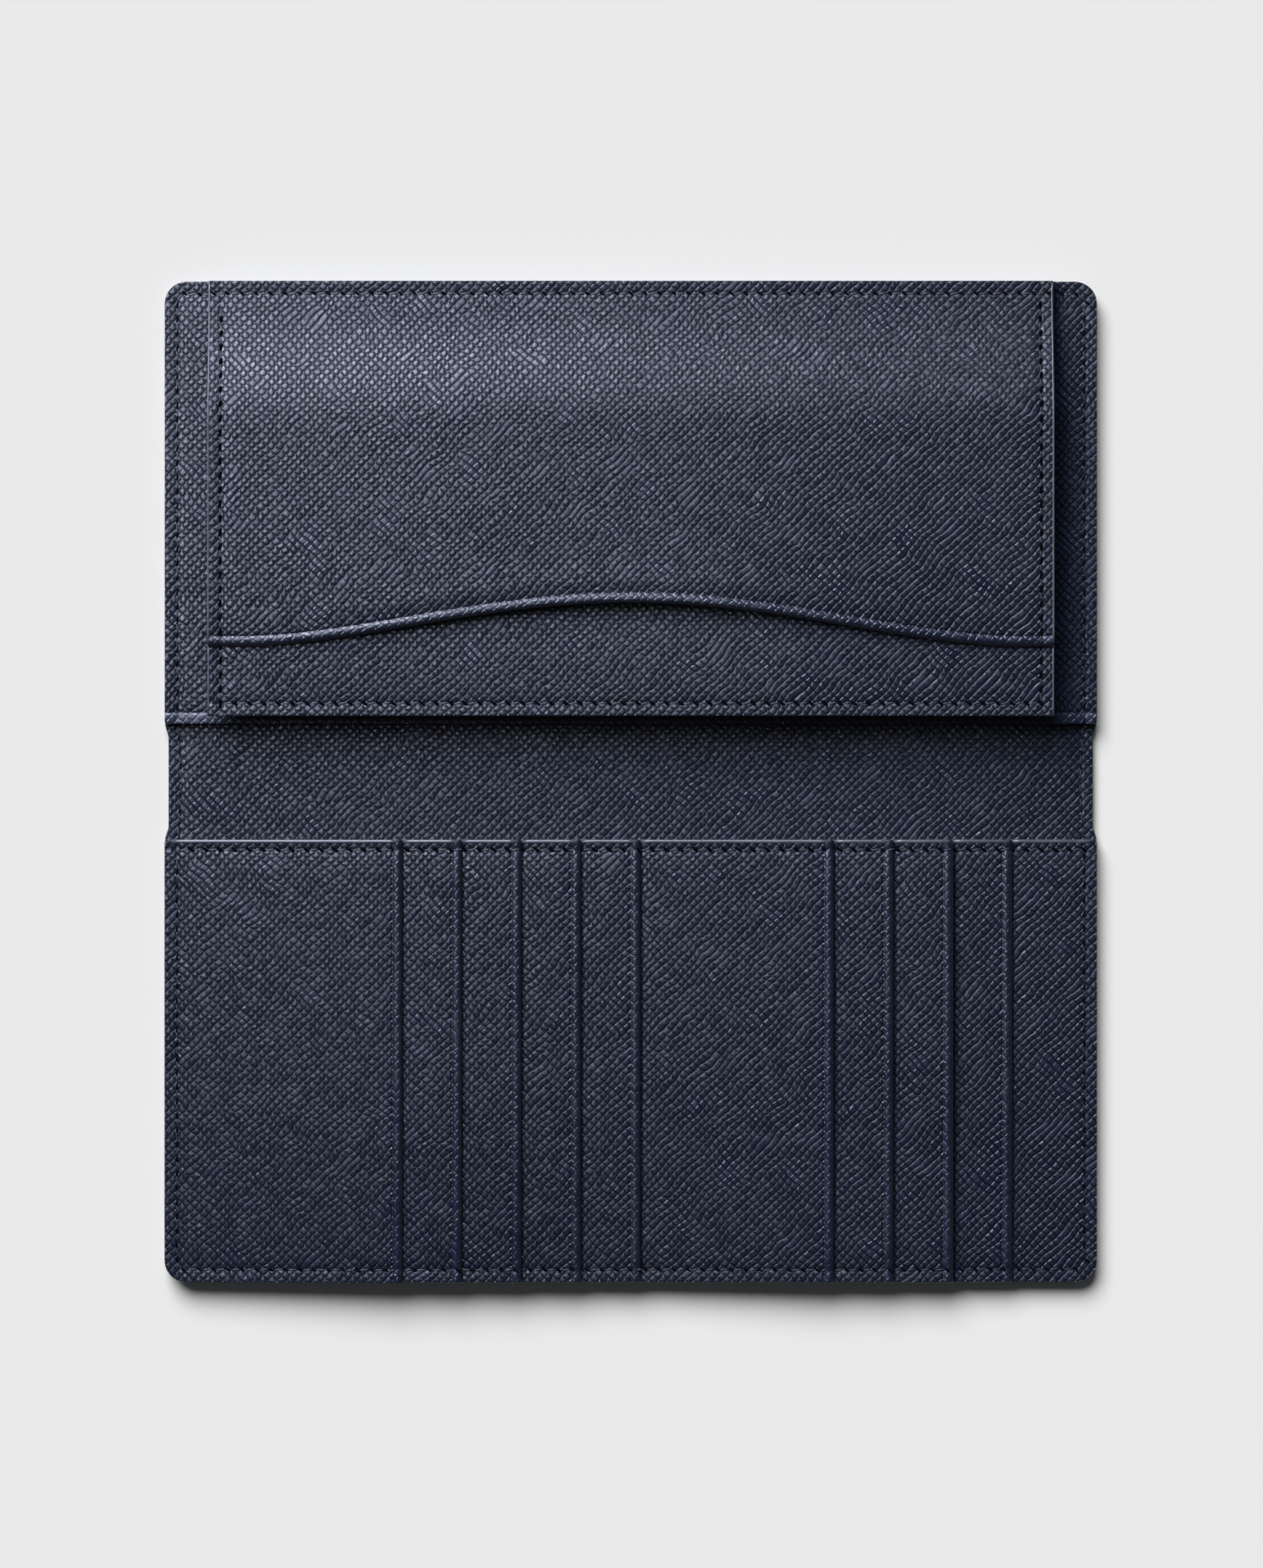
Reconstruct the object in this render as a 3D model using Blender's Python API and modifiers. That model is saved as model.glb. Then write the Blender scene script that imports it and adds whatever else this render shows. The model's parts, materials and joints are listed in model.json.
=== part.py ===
"""A long bifold wallet of cross-grained leather, lying open and flat.

Metres, +Z up. The origin is on the table under the middle of the spine, +X runs along the spine and +Y
points to the note half, so -Y is the card half. Each half is a stack of sheets: cover, board, lining and
an inner panel. The card half carries nine card pockets, laid over each other like shingles. The note half
carries a leaf: a flat two-ply pouch with a slip pocket on its face, sewn in along the outer edge and held
off the note panel by two folded gussets. The cover and its lining bend along two fold lines, so each of
them is three solids here, one for each rigid body.
"""

import math

import bmesh
import bpy

MM = 0.001

# Overall sizes
WIDTH = 192 * MM  # along the spine
HALF_LENGTH = 91 * MM  # an inner panel, from its spine-side edge to the outer edge
SPINE_GAP = 24 * MM  # between the inner panels of the two halves
FOLD_SETBACK = 2.75 * MM  # from an inner panel's spine-side edge to the fold line beside it
CORNER_RADIUS = 4.5 * MM
WAIST = 0.7 * MM  # how far the spine is cut in on each side

# Sheet thicknesses, and the gap that two sheets in contact keep
COVER = 1.2 * MM
BOARD = 0.6 * MM
LINING = 0.8 * MM
NOTE_PANEL = 0.9 * MM
CARD_PANEL = 0.8 * MM
POCKET_FACE = 0.65 * MM
POCKET_STEM = 0.2 * MM
LEAF_BACK = 0.6 * MM
LEAF_FRONT = 0.8 * MM
SLIP_POCKET = 0.8 * MM
GUSSET = 0.5 * MM
LAYER_GAP = 0.25 * MM
THREAD = 0.5 * MM  # thread diameter

# Card pockets: their mouths face +X
POCKET_PITCH = 12.25 * MM
POCKET_DEPTH = 46 * MM
POCKET_LAP = 8 * MM  # how far a leather face runs on under the next mouth
LEFT_MOUTHS = 5
LEFT_PANEL = 48.5 * MM  # from the left side edge to the first mouth
RIGHT_MOUTHS = 4
RIGHT_PANEL = 18 * MM  # from the last mouth to the right side edge

# Leaf
LEAF_MARGIN = 9.2 * MM  # from the wallet's side edge to the leaf's
LEAF_SETBACK = 1.5 * MM  # from the note panel's spine-side edge
COMPARTMENT = 4.8 * MM  # clear height between the note panel and the leaf
LEAF_SEAM_FLAT = 4.5 * MM  # the leaf lies flat on the panel this far in from the outer edge
LEAF_RISE = 14.5 * MM  # and then climbs to its full height over this length
MOUTH_SETBACK = 14.9 * MM  # from the leaf's spine-side edge to the ends of the slip pocket's mouth
MOUTH_RISE = 8.8 * MM  # how much further the mouth is cut away in the middle
MOUTH_LEVEL = 8.8 * MM  # the mouth is level this far in from the leaf's side edges
MOUTH_SHAPE = 0.8  # under 1 makes the arch fuller than a cosine
MOUTH_GAPE = 1.2 * MM  # how far the middle of the mouth stands off the leaf
GUSSET_DEPTH = 9 * MM
GUSSET_INSET = 1.5 * MM  # from the leaf's side edge to the gusset's
GUSSET_END = 15 * MM  # the gussets stop this far from the outer edge

SEAM_INSET = 2.6 * MM  # from an edge to its row of stitches
MOUTH_SEAM_INSET = 2.0 * MM  # the same at the card panel's spine-side edge
SMOOTH_ANGLE = math.radians(30)

# What follows from those sizes
HALF_WIDTH = WIDTH / 2
PANEL_EDGE = SPINE_GAP / 2
OUTER_EDGE = PANEL_EDGE + HALF_LENGTH
FOLD = PANEL_EDGE - FOLD_SETBACK
FOLD_HEIGHT = COVER + LAYER_GAP / 2
SPINE_LINING_BASE = COVER + LAYER_GAP
BOARD_BASE = COVER + LAYER_GAP
LINING_BASE = BOARD_BASE + BOARD + LAYER_GAP
PANEL_BASE = LINING_BASE + LINING + LAYER_GAP
CARD_PANEL_TOP = PANEL_BASE + CARD_PANEL
NOTE_PANEL_TOP = PANEL_BASE + NOTE_PANEL
FOLD_CLEARANCE = LAYER_GAP / 2  # from a fold line to the cover on each side of it
LINING_FOLD_CLEARANCE = SPINE_LINING_BASE + LINING - FOLD_HEIGHT + LAYER_GAP
LEAF_EDGE = PANEL_EDGE + LEAF_SETBACK
LEAF_HALF_WIDTH = HALF_WIDTH - LEAF_MARGIN

NAVY = (0.020, 0.026, 0.050)
FINISHES = {
    "cross_grain_leather": (NAVY, 0.42),
    "smooth_leather": ((0.017, 0.022, 0.043), 0.5),
    "board": ((0.09, 0.075, 0.06), 0.9),
    "pocket_fabric": ((0.012, 0.015, 0.028), 0.85),
    "thread": ((0.008, 0.010, 0.020), 0.6),
}


def clear_scene():
    for obj in list(bpy.data.objects):
        bpy.data.objects.remove(obj)


def material_for(name, finish):
    """A piece's own material, with the colour and roughness of its finish."""
    colour, roughness = FINISHES[finish]
    material = bpy.data.materials.new(name)
    material.use_nodes = True
    shader = material.node_tree.nodes["Principled BSDF"]
    shader.inputs["Base Color"].default_value = (*colour, 1)
    shader.inputs["Roughness"].default_value = roughness
    shader.inputs["Metallic"].default_value = 0
    return material


def smooth_step(t):
    t = min(max(t, 0), 1)
    return t * t * (3 - 2 * t)


# Outlines and levels


def edge_x(y):
    """Half the wallet's width at y: waisted at the spine, with rounded outer corners."""
    reach = abs(y)
    waist = WAIST * smooth_step((PANEL_EDGE - reach) / (PANEL_EDGE - FOLD))
    into_corner = max(reach - (OUTER_EDGE - CORNER_RADIUS), 0)
    rounding = CORNER_RADIUS - math.sqrt(max(CORNER_RADIUS**2 - into_corner**2, 0))
    return HALF_WIDTH - waist - rounding


def corner_rows(steps=6):
    """Distances from the spine that follow an outer corner's arc."""
    start = OUTER_EDGE - CORNER_RADIUS
    return [
        start + CORNER_RADIUS * math.sin(math.pi / 2 * i / steps)
        for i in range(steps + 1)
    ]


def lining_underside(y):
    """The lining lies on the cover at the spine and climbs onto the board under each inner panel."""
    ramp = 2 * MM
    climb = min(max((abs(y) - PANEL_EDGE) / ramp, 0), 1)
    return SPINE_LINING_BASE + (LINING_BASE - SPINE_LINING_BASE) * climb


def leaf_underside(y):
    """The leaf starts flat at the outer edge and climbs to leave the gusseted compartment under it."""
    climb = smooth_step((OUTER_EDGE - LEAF_SEAM_FLAT - y) / LEAF_RISE)
    return NOTE_PANEL_TOP + LAYER_GAP + (COMPARTMENT - LAYER_GAP) * climb


def leaf_rows(start):
    flat = OUTER_EDGE - LEAF_SEAM_FLAT
    climb = [flat - LEAF_RISE * i / 6 for i in range(6, -1, -1)]
    return [start, *climb, OUTER_EDGE]


def slip_mouth_y(x):
    """The slip pocket's mouth: level at its ends and arched away from the spine in the middle."""
    share = min(abs(x) / (LEAF_HALF_WIDTH - MOUTH_LEVEL), 1)
    arch = (0.5 * (1 + math.cos(math.pi * share))) ** MOUTH_SHAPE
    return LEAF_EDGE + MOUTH_SETBACK + MOUTH_RISE * arch


# Makers


def sheet(name, finish, columns, rows, place, thickness, side=1):
    """A sheet of leather, board or fabric: a grid laid out by place(column, row), given its thickness.

    side is 1 where place gives the underside, and 0 where it gives the middle of the sheet.
    """
    mesh = bpy.data.meshes.new(name)
    grid = bmesh.new()
    across, along = len(columns) - 1, len(rows) - 1
    bmesh.ops.create_grid(grid, x_segments=across, y_segments=along, size=0.5)
    for vertex in grid.verts:
        column = round((vertex.co.x + 0.5) * across)
        row = round((vertex.co.y + 0.5) * along)
        vertex.co = place(columns[column], rows[row])
    grid.to_mesh(mesh)
    grid.free()
    obj = bpy.data.objects.new(name, mesh)
    obj.data.materials.append(material_for(name, finish))
    wall = obj.modifiers.new("thickness", "SOLIDIFY")
    wall.thickness = thickness
    wall.offset = side
    wall.use_even_offset = True
    mesh.shade_smooth()
    mesh.set_sharp_from_angle(angle=SMOOTH_ANGLE)
    return obj


def thread(name, points):
    """A row of stitching as one strand that runs along the surface."""
    curve = bpy.data.curves.new(name, "CURVE")
    curve.dimensions = "3D"
    curve.bevel_depth = THREAD / 2
    curve.bevel_resolution = 1
    curve.use_fill_caps = True
    spline = curve.splines.new("POLY")
    spline.points.add(len(points) - 1)
    for point, place in zip(spline.points, points):
        point.co = (*place, 1)
    obj = bpy.data.objects.new(name, curve)
    curve.materials.append(material_for(name, "thread"))
    return obj


# The cover, its board and its lining


def spanning_sheet(name, finish, rows, underside, thickness, inset=0.0):
    """A sheet that fills the wallet's outline between its first and last rows."""

    def place(share, y):
        return ((2 * share - 1) * (edge_x(y) - inset), y, underside(y))

    return sheet(name, finish, [0, 0.5, 1], rows, place, thickness)


def half_rows(side, start, extra=(), end_inset=0.0):
    """Rows from start to the outer edge of one half, in the order that keeps +Z up."""
    rows = sorted({start, *extra, *(row - end_inset for row in corner_rows())})
    return rows if side > 0 else [-row for row in reversed(rows)]


def make_wrap(side, half):
    """The cover, board and lining of one half."""
    relief = FOLD + FOLD_CLEARANCE
    lining_start = FOLD + LINING_FOLD_CLEARANCE
    ramp_end = PANEL_EDGE + 2 * MM
    board_start = ramp_end + LINING
    board_inset = 0.5 * MM
    cover = spanning_sheet(
        f"cover_{half}",
        "cross_grain_leather",
        half_rows(side, relief, [(FOLD + PANEL_EDGE) / 2, PANEL_EDGE]),
        lambda y: 0,
        COVER,
    )
    board = spanning_sheet(
        f"board_{half}",
        "board",
        half_rows(side, board_start, end_inset=board_inset),
        lambda y: BOARD_BASE,
        BOARD,
        board_inset,
    )
    lining = spanning_sheet(
        f"lining_{half}",
        "cross_grain_leather",
        half_rows(side, lining_start, [PANEL_EDGE, ramp_end]),
        lining_underside,
        LINING,
    )
    return [cover, board, lining]


def make_spine():
    """The strip between the two fold lines: its cover and lining, and its two edge seams."""
    cover_end = FOLD - FOLD_CLEARANCE
    lining_end = FOLD - LINING_FOLD_CLEARANCE
    cover = spanning_sheet(
        "cover_spine", "cross_grain_leather", [-cover_end, cover_end], lambda y: 0, COVER
    )
    lining = spanning_sheet(
        "lining_spine",
        "cross_grain_leather",
        [-lining_end, lining_end],
        lining_underside,
        LINING,
    )
    height = SPINE_LINING_BASE + LINING + LAYER_GAP + THREAD / 2
    seams = []
    for label, side in (("left", -1), ("right", 1)):
        x = side * (edge_x(0) - SEAM_INSET)
        seams.append(
            thread(f"seam_spine_{label}", [(x, -lining_end, height), (x, lining_end, height)])
        )
    return [cover, lining, *seams]


# The card half


def pocket_layout():
    """Each card pocket, bottom one first: its number, mouth, foot and how steeply it lies.

    A pocket's foot lies on the card panel, outside the foot of the pocket under it. Its slope is the
    gentlest one that clears that pocket.
    """
    mouths = [LEFT_PANEL - HALF_WIDTH + POCKET_PITCH * i for i in range(LEFT_MOUTHS)]
    last_mouth = HALF_WIDTH - RIGHT_PANEL
    mouths += [last_mouth - POCKET_PITCH * i for i in range(RIGHT_MOUTHS - 1, -1, -1)]
    base = CARD_PANEL_TOP + LAYER_GAP
    pockets = []
    for number in range(len(mouths), 0, -1):
        mouth = mouths[number - 1]
        is_panel = number in (1, LEFT_MOUTHS + 1)
        if number == 1:
            foot = -HALF_WIDTH
        elif is_panel:
            lap = mouths[number - 2] - POCKET_LAP
            foot = min(lap, pockets[-1]["foot"] - POCKET_PITCH)
        else:
            foot = mouth - POCKET_DEPTH
        join = foot if is_panel else mouth - POCKET_PITCH - POCKET_LAP
        slope = 0.0
        if pockets:
            under = pockets[-1]
            for x, wall in (
                (under["foot"], POCKET_STEM),
                (under["join"], POCKET_FACE),
                (mouth, POCKET_FACE),
            ):
                if foot < x <= mouth:
                    top = pocket_underside(under, x) + wall
                    slope = max(slope, (top + LAYER_GAP - base) / (x - foot))
        pockets.append(
            {"number": number, "mouth": mouth, "foot": foot, "join": join, "slope": slope}
        )
    return pockets


def pocket_underside(pocket, x):
    return CARD_PANEL_TOP + LAYER_GAP + pocket["slope"] * (x - pocket["foot"])


def make_pocket(pocket):
    """A card pocket: a leather face behind its mouth and, on most, a fabric stem that runs on to its foot."""
    number = pocket["number"]

    def place(share, y):
        foot = -edge_x(y) if number == 1 else pocket["join"]
        x = foot + (pocket["mouth"] - foot) * share
        return (x, y, pocket_underside(pocket, x))

    def place_stem(x, y):
        return (x, y, pocket_underside(pocket, x))

    rows = [-OUTER_EDGE, -PANEL_EDGE]
    if number == 1:
        rows = half_rows(-1, PANEL_EDGE)
    pieces = [
        sheet(
            f"card_pocket_{number}", "cross_grain_leather", [0, 1], rows, place, POCKET_FACE
        )
    ]
    if pocket["join"] > pocket["foot"]:
        columns = [pocket["foot"], pocket["join"] - LAYER_GAP]
        pieces.append(
            sheet(
                f"pocket_stem_{number}", "pocket_fabric", columns, rows, place_stem, POCKET_STEM
            )
        )
    return pieces


def card_profile(pockets, inset):
    """The line of the card half's top surface along X, as (x, z), stepping down at each mouth.

    It runs between the two side seams, a thread's clearance above the leather.
    """
    lift = LAYER_GAP + THREAD / 2
    step = LAYER_GAP + THREAD / 2
    left = -HALF_WIDTH + inset
    line = []
    for pocket in sorted(pockets, key=lambda p: p["number"]):
        right = pocket["mouth"] + step
        for x in (left, right):
            inside = min(x, pocket["mouth"])
            top = pocket_underside(pocket, inside) + POCKET_FACE
            line.append((x, top + lift))
        left = right
    base = CARD_PANEL_TOP + lift
    return [*line, (left, base), (HALF_WIDTH - inset, base)]


def make_card_half():
    def place(share, y):
        return ((2 * share - 1) * edge_x(y), y, PANEL_BASE)

    panel = sheet(
        "card_panel",
        "cross_grain_leather",
        [0, 1],
        half_rows(-1, PANEL_EDGE),
        place,
        CARD_PANEL,
    )
    pockets = pocket_layout()
    pieces = [panel]
    for pocket in pockets:
        pieces += make_pocket(pocket)
    profile = card_profile(pockets, SEAM_INSET)
    outer = -OUTER_EDGE + SEAM_INSET
    start = -PANEL_EDGE - MOUTH_SEAM_INSET
    first, last = profile[0], profile[-1]
    perimeter = [(first[0], start - THREAD - LAYER_GAP, first[1])]
    perimeter += [(x, outer, z) for x, z in profile]
    perimeter.append((last[0], start - THREAD - LAYER_GAP, last[1]))
    pieces.append(thread("seam_card_perimeter", perimeter))
    pieces.append(thread("seam_card_mouth", [(x, start, z) for x, z in profile]))
    return pieces


# The note half and its leaf


def make_note_panel():
    def place(share, y):
        return ((2 * share - 1) * edge_x(y), y, PANEL_BASE)

    return sheet(
        "note_panel",
        "cross_grain_leather",
        [0, 1],
        half_rows(1, PANEL_EDGE),
        place,
        NOTE_PANEL,
    )


def make_gusset(label, side):
    """A strip folded inwards into a V between the note panel and the leaf."""
    outer = LEAF_HALF_WIDTH - GUSSET_INSET
    fold = [(0, 0), (0.93, 0.36), (1, 0.5), (0.93, 0.64), (0, 1)]
    low = NOTE_PANEL_TOP + LAYER_GAP + GUSSET / 2

    def place(point, y):
        depth, rise = point
        high = leaf_underside(y) - LAYER_GAP - GUSSET / 2
        return (side * (outer - GUSSET_DEPTH * depth), y, low + (high - low) * rise)

    end = OUTER_EDGE - GUSSET_END
    rows = [LEAF_EDGE + GUSSET_INSET, *(r for r in leaf_rows(LEAF_EDGE)[1:] if r < end), end]
    columns = fold if side > 0 else fold[::-1]
    return sheet(f"gusset_{label}", "smooth_leather", columns, rows, place, GUSSET, 0)


def make_leaf():
    front_lift = LEAF_BACK + LAYER_GAP
    slip_lift = front_lift + LEAF_FRONT + LAYER_GAP

    def place_back(x, y):
        return (x, y, leaf_underside(y))

    def place_front(x, y):
        return (x, y, leaf_underside(y) + front_lift)

    def place_slip(x, row):
        """row is y at the sides; in the middle the rows near the mouth are drawn up to its arch."""
        share = min((row - mouth_end) / (level_end - mouth_end), 1)
        y = row + (slip_mouth_y(x) - mouth_end) * (1 - share)
        across = math.cos(math.pi / 2 * x / LEAF_HALF_WIDTH) ** 2
        gape = MOUTH_GAPE * across * max(1 - 1.6 * share, 0) ** 2
        return (x, y, leaf_underside(y) + slip_lift + gape)

    ends = [-LEAF_HALF_WIDTH, LEAF_HALF_WIDTH]
    count = 20
    across = [LEAF_HALF_WIDTH * (2 * i / count - 1) for i in range(count + 1)]
    rows = leaf_rows(LEAF_EDGE)
    mouth_end = LEAF_EDGE + MOUTH_SETBACK
    level_end = rows[1]
    level = [mouth_end + (level_end - mouth_end) * share for share in (0, 0.16, 0.32, 0.48, 0.64)]
    back = sheet("leaf_back", "smooth_leather", ends, rows, place_back, LEAF_BACK)
    front = sheet("leaf_front", "cross_grain_leather", ends, rows, place_front, LEAF_FRONT)
    slip = sheet(
        "slip_pocket",
        "cross_grain_leather",
        across,
        [*level, *rows[1:]],
        place_slip,
        SLIP_POCKET,
    )
    return [back, front, slip, make_leaf_seam(front_lift, slip_lift)]


def make_leaf_seam(front_lift, slip_lift):
    """One strand along the leaf's two sides and its spine-side edge, stepping at the slip pocket's mouth."""
    lift = LAYER_GAP + THREAD / 2
    top = slip_lift + SLIP_POCKET + lift
    x = LEAF_HALF_WIDTH - SEAM_INSET
    y = LEAF_EDGE + SEAM_INSET
    step = slip_mouth_y(x) - LAYER_GAP - THREAD / 2
    on_front = leaf_underside(y) + front_lift + LEAF_FRONT + lift
    on_slip = leaf_underside(y) + top
    climb = leaf_rows(LEAF_EDGE)[1:-1]
    start = OUTER_EDGE - SEAM_INSET - THREAD - LAYER_GAP
    side = [(x, row, leaf_underside(row) + top) for row in [start, *reversed(climb)]]
    side += [(x, step, on_slip), (x, step, on_front), (x, y, on_front)]
    return thread("seam_leaf", [(-a, b, c) for a, b, c in side] + side[::-1])


def make_note_seam():
    """The note half's edge seam: up one side, across over the leaf's sewn edge and down the other side."""
    lift = LAYER_GAP + THREAD / 2
    x = HALF_WIDTH - SEAM_INSET
    y = OUTER_EDGE - SEAM_INSET
    low = NOTE_PANEL_TOP + lift
    leaf_stack = LEAF_BACK + LEAF_FRONT + SLIP_POCKET + 3 * LAYER_GAP
    high = low + leaf_stack
    step = LEAF_HALF_WIDTH + LAYER_GAP + THREAD / 2
    side = [(x, PANEL_EDGE + MOUTH_SEAM_INSET, low), (x, y, low), (step, y, low), (step, y, high)]
    return thread("seam_note_perimeter", [(-a, b, c) for a, b, c in side] + side[::-1])


def parent_in_place(child, parent):
    """Parent an object without moving it."""
    bpy.context.view_layer.update()
    child.parent = parent
    child.matrix_parent_inverse = parent.matrix_world.inverted()


def pivot(collection, name, y, z, pieces, parent=None):
    """An empty on a fold line or a hinge, with the pieces that turn about it parented to it."""
    empty = bpy.data.objects.new(name, None)
    empty.empty_display_type = "ARROWS"
    empty.empty_display_size = POCKET_PITCH
    empty.location = (0, y, z)
    collection.objects.link(empty)
    if parent:
        parent_in_place(empty, parent)
    for piece in pieces:
        collection.objects.link(piece)
        parent_in_place(piece, empty)
    return empty


def main():
    clear_scene()
    wallet = bpy.data.collections.new("long_wallet")
    bpy.context.scene.collection.children.link(wallet)
    for piece in [*make_wrap(-1, "card_half"), *make_card_half()]:
        wallet.objects.link(piece)
    spine = pivot(wallet, "card_fold", -FOLD, FOLD_HEIGHT, make_spine())
    note_pieces = [*make_wrap(1, "note_half"), make_note_panel(), make_note_seam()]
    note_pieces += [make_gusset("left", -1), make_gusset("right", 1)]
    note_half = pivot(wallet, "note_fold", FOLD, FOLD_HEIGHT, note_pieces, spine)
    leaf_hinge = OUTER_EDGE - LEAF_SEAM_FLAT
    pivot(wallet, "leaf_hinge", leaf_hinge, leaf_underside(leaf_hinge), make_leaf(), note_half)


main()
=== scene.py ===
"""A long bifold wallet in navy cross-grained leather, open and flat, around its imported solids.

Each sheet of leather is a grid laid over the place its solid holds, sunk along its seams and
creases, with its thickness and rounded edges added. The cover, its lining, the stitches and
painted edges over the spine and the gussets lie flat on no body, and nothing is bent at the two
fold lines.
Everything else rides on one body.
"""

import json
import math
import random

import bmesh
import bpy
from bpy.props import FloatProperty, FloatVectorProperty, PointerProperty
from mathutils import Matrix, Vector

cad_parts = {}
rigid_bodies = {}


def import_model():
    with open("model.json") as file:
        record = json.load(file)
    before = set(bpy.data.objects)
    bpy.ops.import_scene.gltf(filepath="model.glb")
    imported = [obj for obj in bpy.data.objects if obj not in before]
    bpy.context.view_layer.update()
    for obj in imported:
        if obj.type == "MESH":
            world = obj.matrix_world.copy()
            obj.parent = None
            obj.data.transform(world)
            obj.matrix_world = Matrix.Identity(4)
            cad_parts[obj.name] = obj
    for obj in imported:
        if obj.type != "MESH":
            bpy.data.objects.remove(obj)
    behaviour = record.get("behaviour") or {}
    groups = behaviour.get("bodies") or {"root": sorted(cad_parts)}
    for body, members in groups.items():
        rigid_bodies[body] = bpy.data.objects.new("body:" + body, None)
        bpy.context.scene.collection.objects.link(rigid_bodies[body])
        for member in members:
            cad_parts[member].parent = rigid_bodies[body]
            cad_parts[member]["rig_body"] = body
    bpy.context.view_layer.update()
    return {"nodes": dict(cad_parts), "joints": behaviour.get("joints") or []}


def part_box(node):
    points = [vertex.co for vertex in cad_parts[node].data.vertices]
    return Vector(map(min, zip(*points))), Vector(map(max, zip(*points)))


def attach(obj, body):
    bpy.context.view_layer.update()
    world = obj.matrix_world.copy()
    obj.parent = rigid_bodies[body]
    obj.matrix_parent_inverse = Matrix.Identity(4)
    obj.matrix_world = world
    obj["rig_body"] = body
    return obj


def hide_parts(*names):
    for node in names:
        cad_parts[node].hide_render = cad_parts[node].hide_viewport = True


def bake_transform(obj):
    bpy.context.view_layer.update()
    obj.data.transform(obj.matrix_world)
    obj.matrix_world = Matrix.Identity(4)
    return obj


bl_info = {
    "name": "Long Wallet",
    "version": (1, 0, 0),
    "blender": (4, 5, 0),
    "location": "3D View > Sidebar > Wallet",
    "description": "Leather, stitching, edges and stage of an open long wallet",
    "category": "Object",
}

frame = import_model()

MM = 0.001

# Places read from the solids
CARD_LOW, CARD_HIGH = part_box("card_panel")
NOTE_LOW, NOTE_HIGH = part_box("note_panel")
COVER_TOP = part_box("cover_spine")[1].z
SPINE_LINING_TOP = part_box("lining_spine")[1].z
LINING_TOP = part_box("lining_note_half")[1].z
HALF_WIDTH = NOTE_HIGH.x
SPINE_HALF_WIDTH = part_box("cover_spine")[1].x
OUTER_EDGE = NOTE_HIGH.y
PANEL_EDGE = NOTE_LOW.y
PANEL_TOP = {"card_half": CARD_HIGH.z, "note_half": NOTE_HIGH.z}
LEAF_LOW, LEAF_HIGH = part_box("leaf_front")
LEAF_BACK_LOW, LEAF_BACK_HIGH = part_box("leaf_back")
LEAF_HALF_WIDTH = LEAF_HIGH.x
LEAF_EDGE = LEAF_LOW.y
MOUTH_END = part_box("slip_pocket")[0].y
FOLD = {j["name"]: Vector(j["pos_m"]) for j in frame["joints"]}
LEAF_HINGE = FOLD["leaf_press"]
POCKETS = range(1, 10)

# Sizes of the leather
LINING = SPINE_LINING_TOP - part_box("lining_spine")[0].z
POCKET_FACE = 0.65 * MM
LEAF_FRONT = 0.8 * MM
LEAF_BACK = 0.6 * MM
SLIP_POCKET = 0.8 * MM
LAYER_GAP = 0.25 * MM
CORNER_RADIUS = 4.5 * MM
PANEL_CORNER = 1.3 * MM
EDGE_ROUNDING = 0.22 * MM
SHARP_ANGLE = math.radians(60)
LEAF_RISE = 24 * MM
MOUTH_RISE = 8.8 * MM
MOUTH_LEVEL = 8.8 * MM
MOUTH_SHAPE = 0.8
MOUTH_GAPE = 1.8 * MM
MOUTH_SAG = 0.8 * MM
LIP_LIFT = 0.32 * MM
# Past each mouth a strip of edge paint slopes down, this wide and this far down: partly the real
# edge, partly painted shade in the gap beside the mouth.
MOUTH_EDGE_AND_SHADE = 0.62 * MM
MOUTH_EDGE_AND_SHADE_DROP = 0.5 * MM
FOLD_REACH = 3.2 * MM
FOLD_ROWS = 24

# Painted edges: how far they start and end from the leather's own faces
EDGE_FOOT = 0.12 * MM
SEAT = 0.02 * MM
SPINE_STEPS = 30
CARD_BEAD = 0.45 * MM
LEAF_BEAD = 0.22 * MM

# Seams and creases
MOUTH_SEAM = 2.0 * MM
CREASE_INSET = 1.45 * MM
PRESS_INSET = 0.35 * MM
PLAIN_REACH = 0.1 * MM
TURNED_EDGE = 2.2 * MM


# Stage
FLOOR_REACH = 12.0
FLOOR_HEIGHT = -0.05 * MM
VIEW_LENGTH = 0.3238  # how much of the floor the camera's long side takes in
CAMERA_CENTRE = (0.15 * MM, -0.45 * MM)
KEY_FROM = Vector((-0.35, 0.85, 1.0))
KEY_ANGLE = math.radians(40)
WORLD_COLOUR = (0.95, 0.97, 1.0, 1)
WINDOW_COLOUR = (0.78, 0.83, 1.0)
# Windows seen only as sheen: name, place, width and energy
WINDOWS = (
    ("window_top", (-0.12, 0.45, 0.26), 0.24, 4.3),
    ("window_left", (-0.19, 0.19, 0.27), 0.28, 3.1),
)


def length_setting(name, description, default, precision=5):
    return FloatProperty(
        name=name, description=description, default=default, unit="LENGTH", precision=precision
    )


def angle_setting(name, description, degrees):
    default = math.radians(degrees)
    return FloatProperty(name=name, description=description, default=default, subtype="ANGLE")


def colour_setting(name, description, default):
    return FloatVectorProperty(
        name=name, description=description, default=default, subtype="COLOR", min=0, max=1
    )


class WalletLeather(bpy.types.PropertyGroup):
    """Colour and grain of the leather."""

    colour: colour_setting(
        "Leather colour", "Colour of the grain's faces", (0.0075, 0.0125, 0.032)
    )
    # Darker than the leather: painted shade down in the grain's grooves.
    groove_shade_colour: colour_setting(
        "Groove shade colour", "Colour down in the grain", (0.002, 0.003, 0.007)
    )
    spacing: length_setting(
        "Grain spacing", "Distance between neighbouring grooves of one direction", 1.32 * MM
    )
    slant: angle_setting("Grain slant", "Angle of the grooves to the spine", 45)
    depth: length_setting("Grain depth", "Height of the grain's diamonds", 0.29 * MM, 6)


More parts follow.
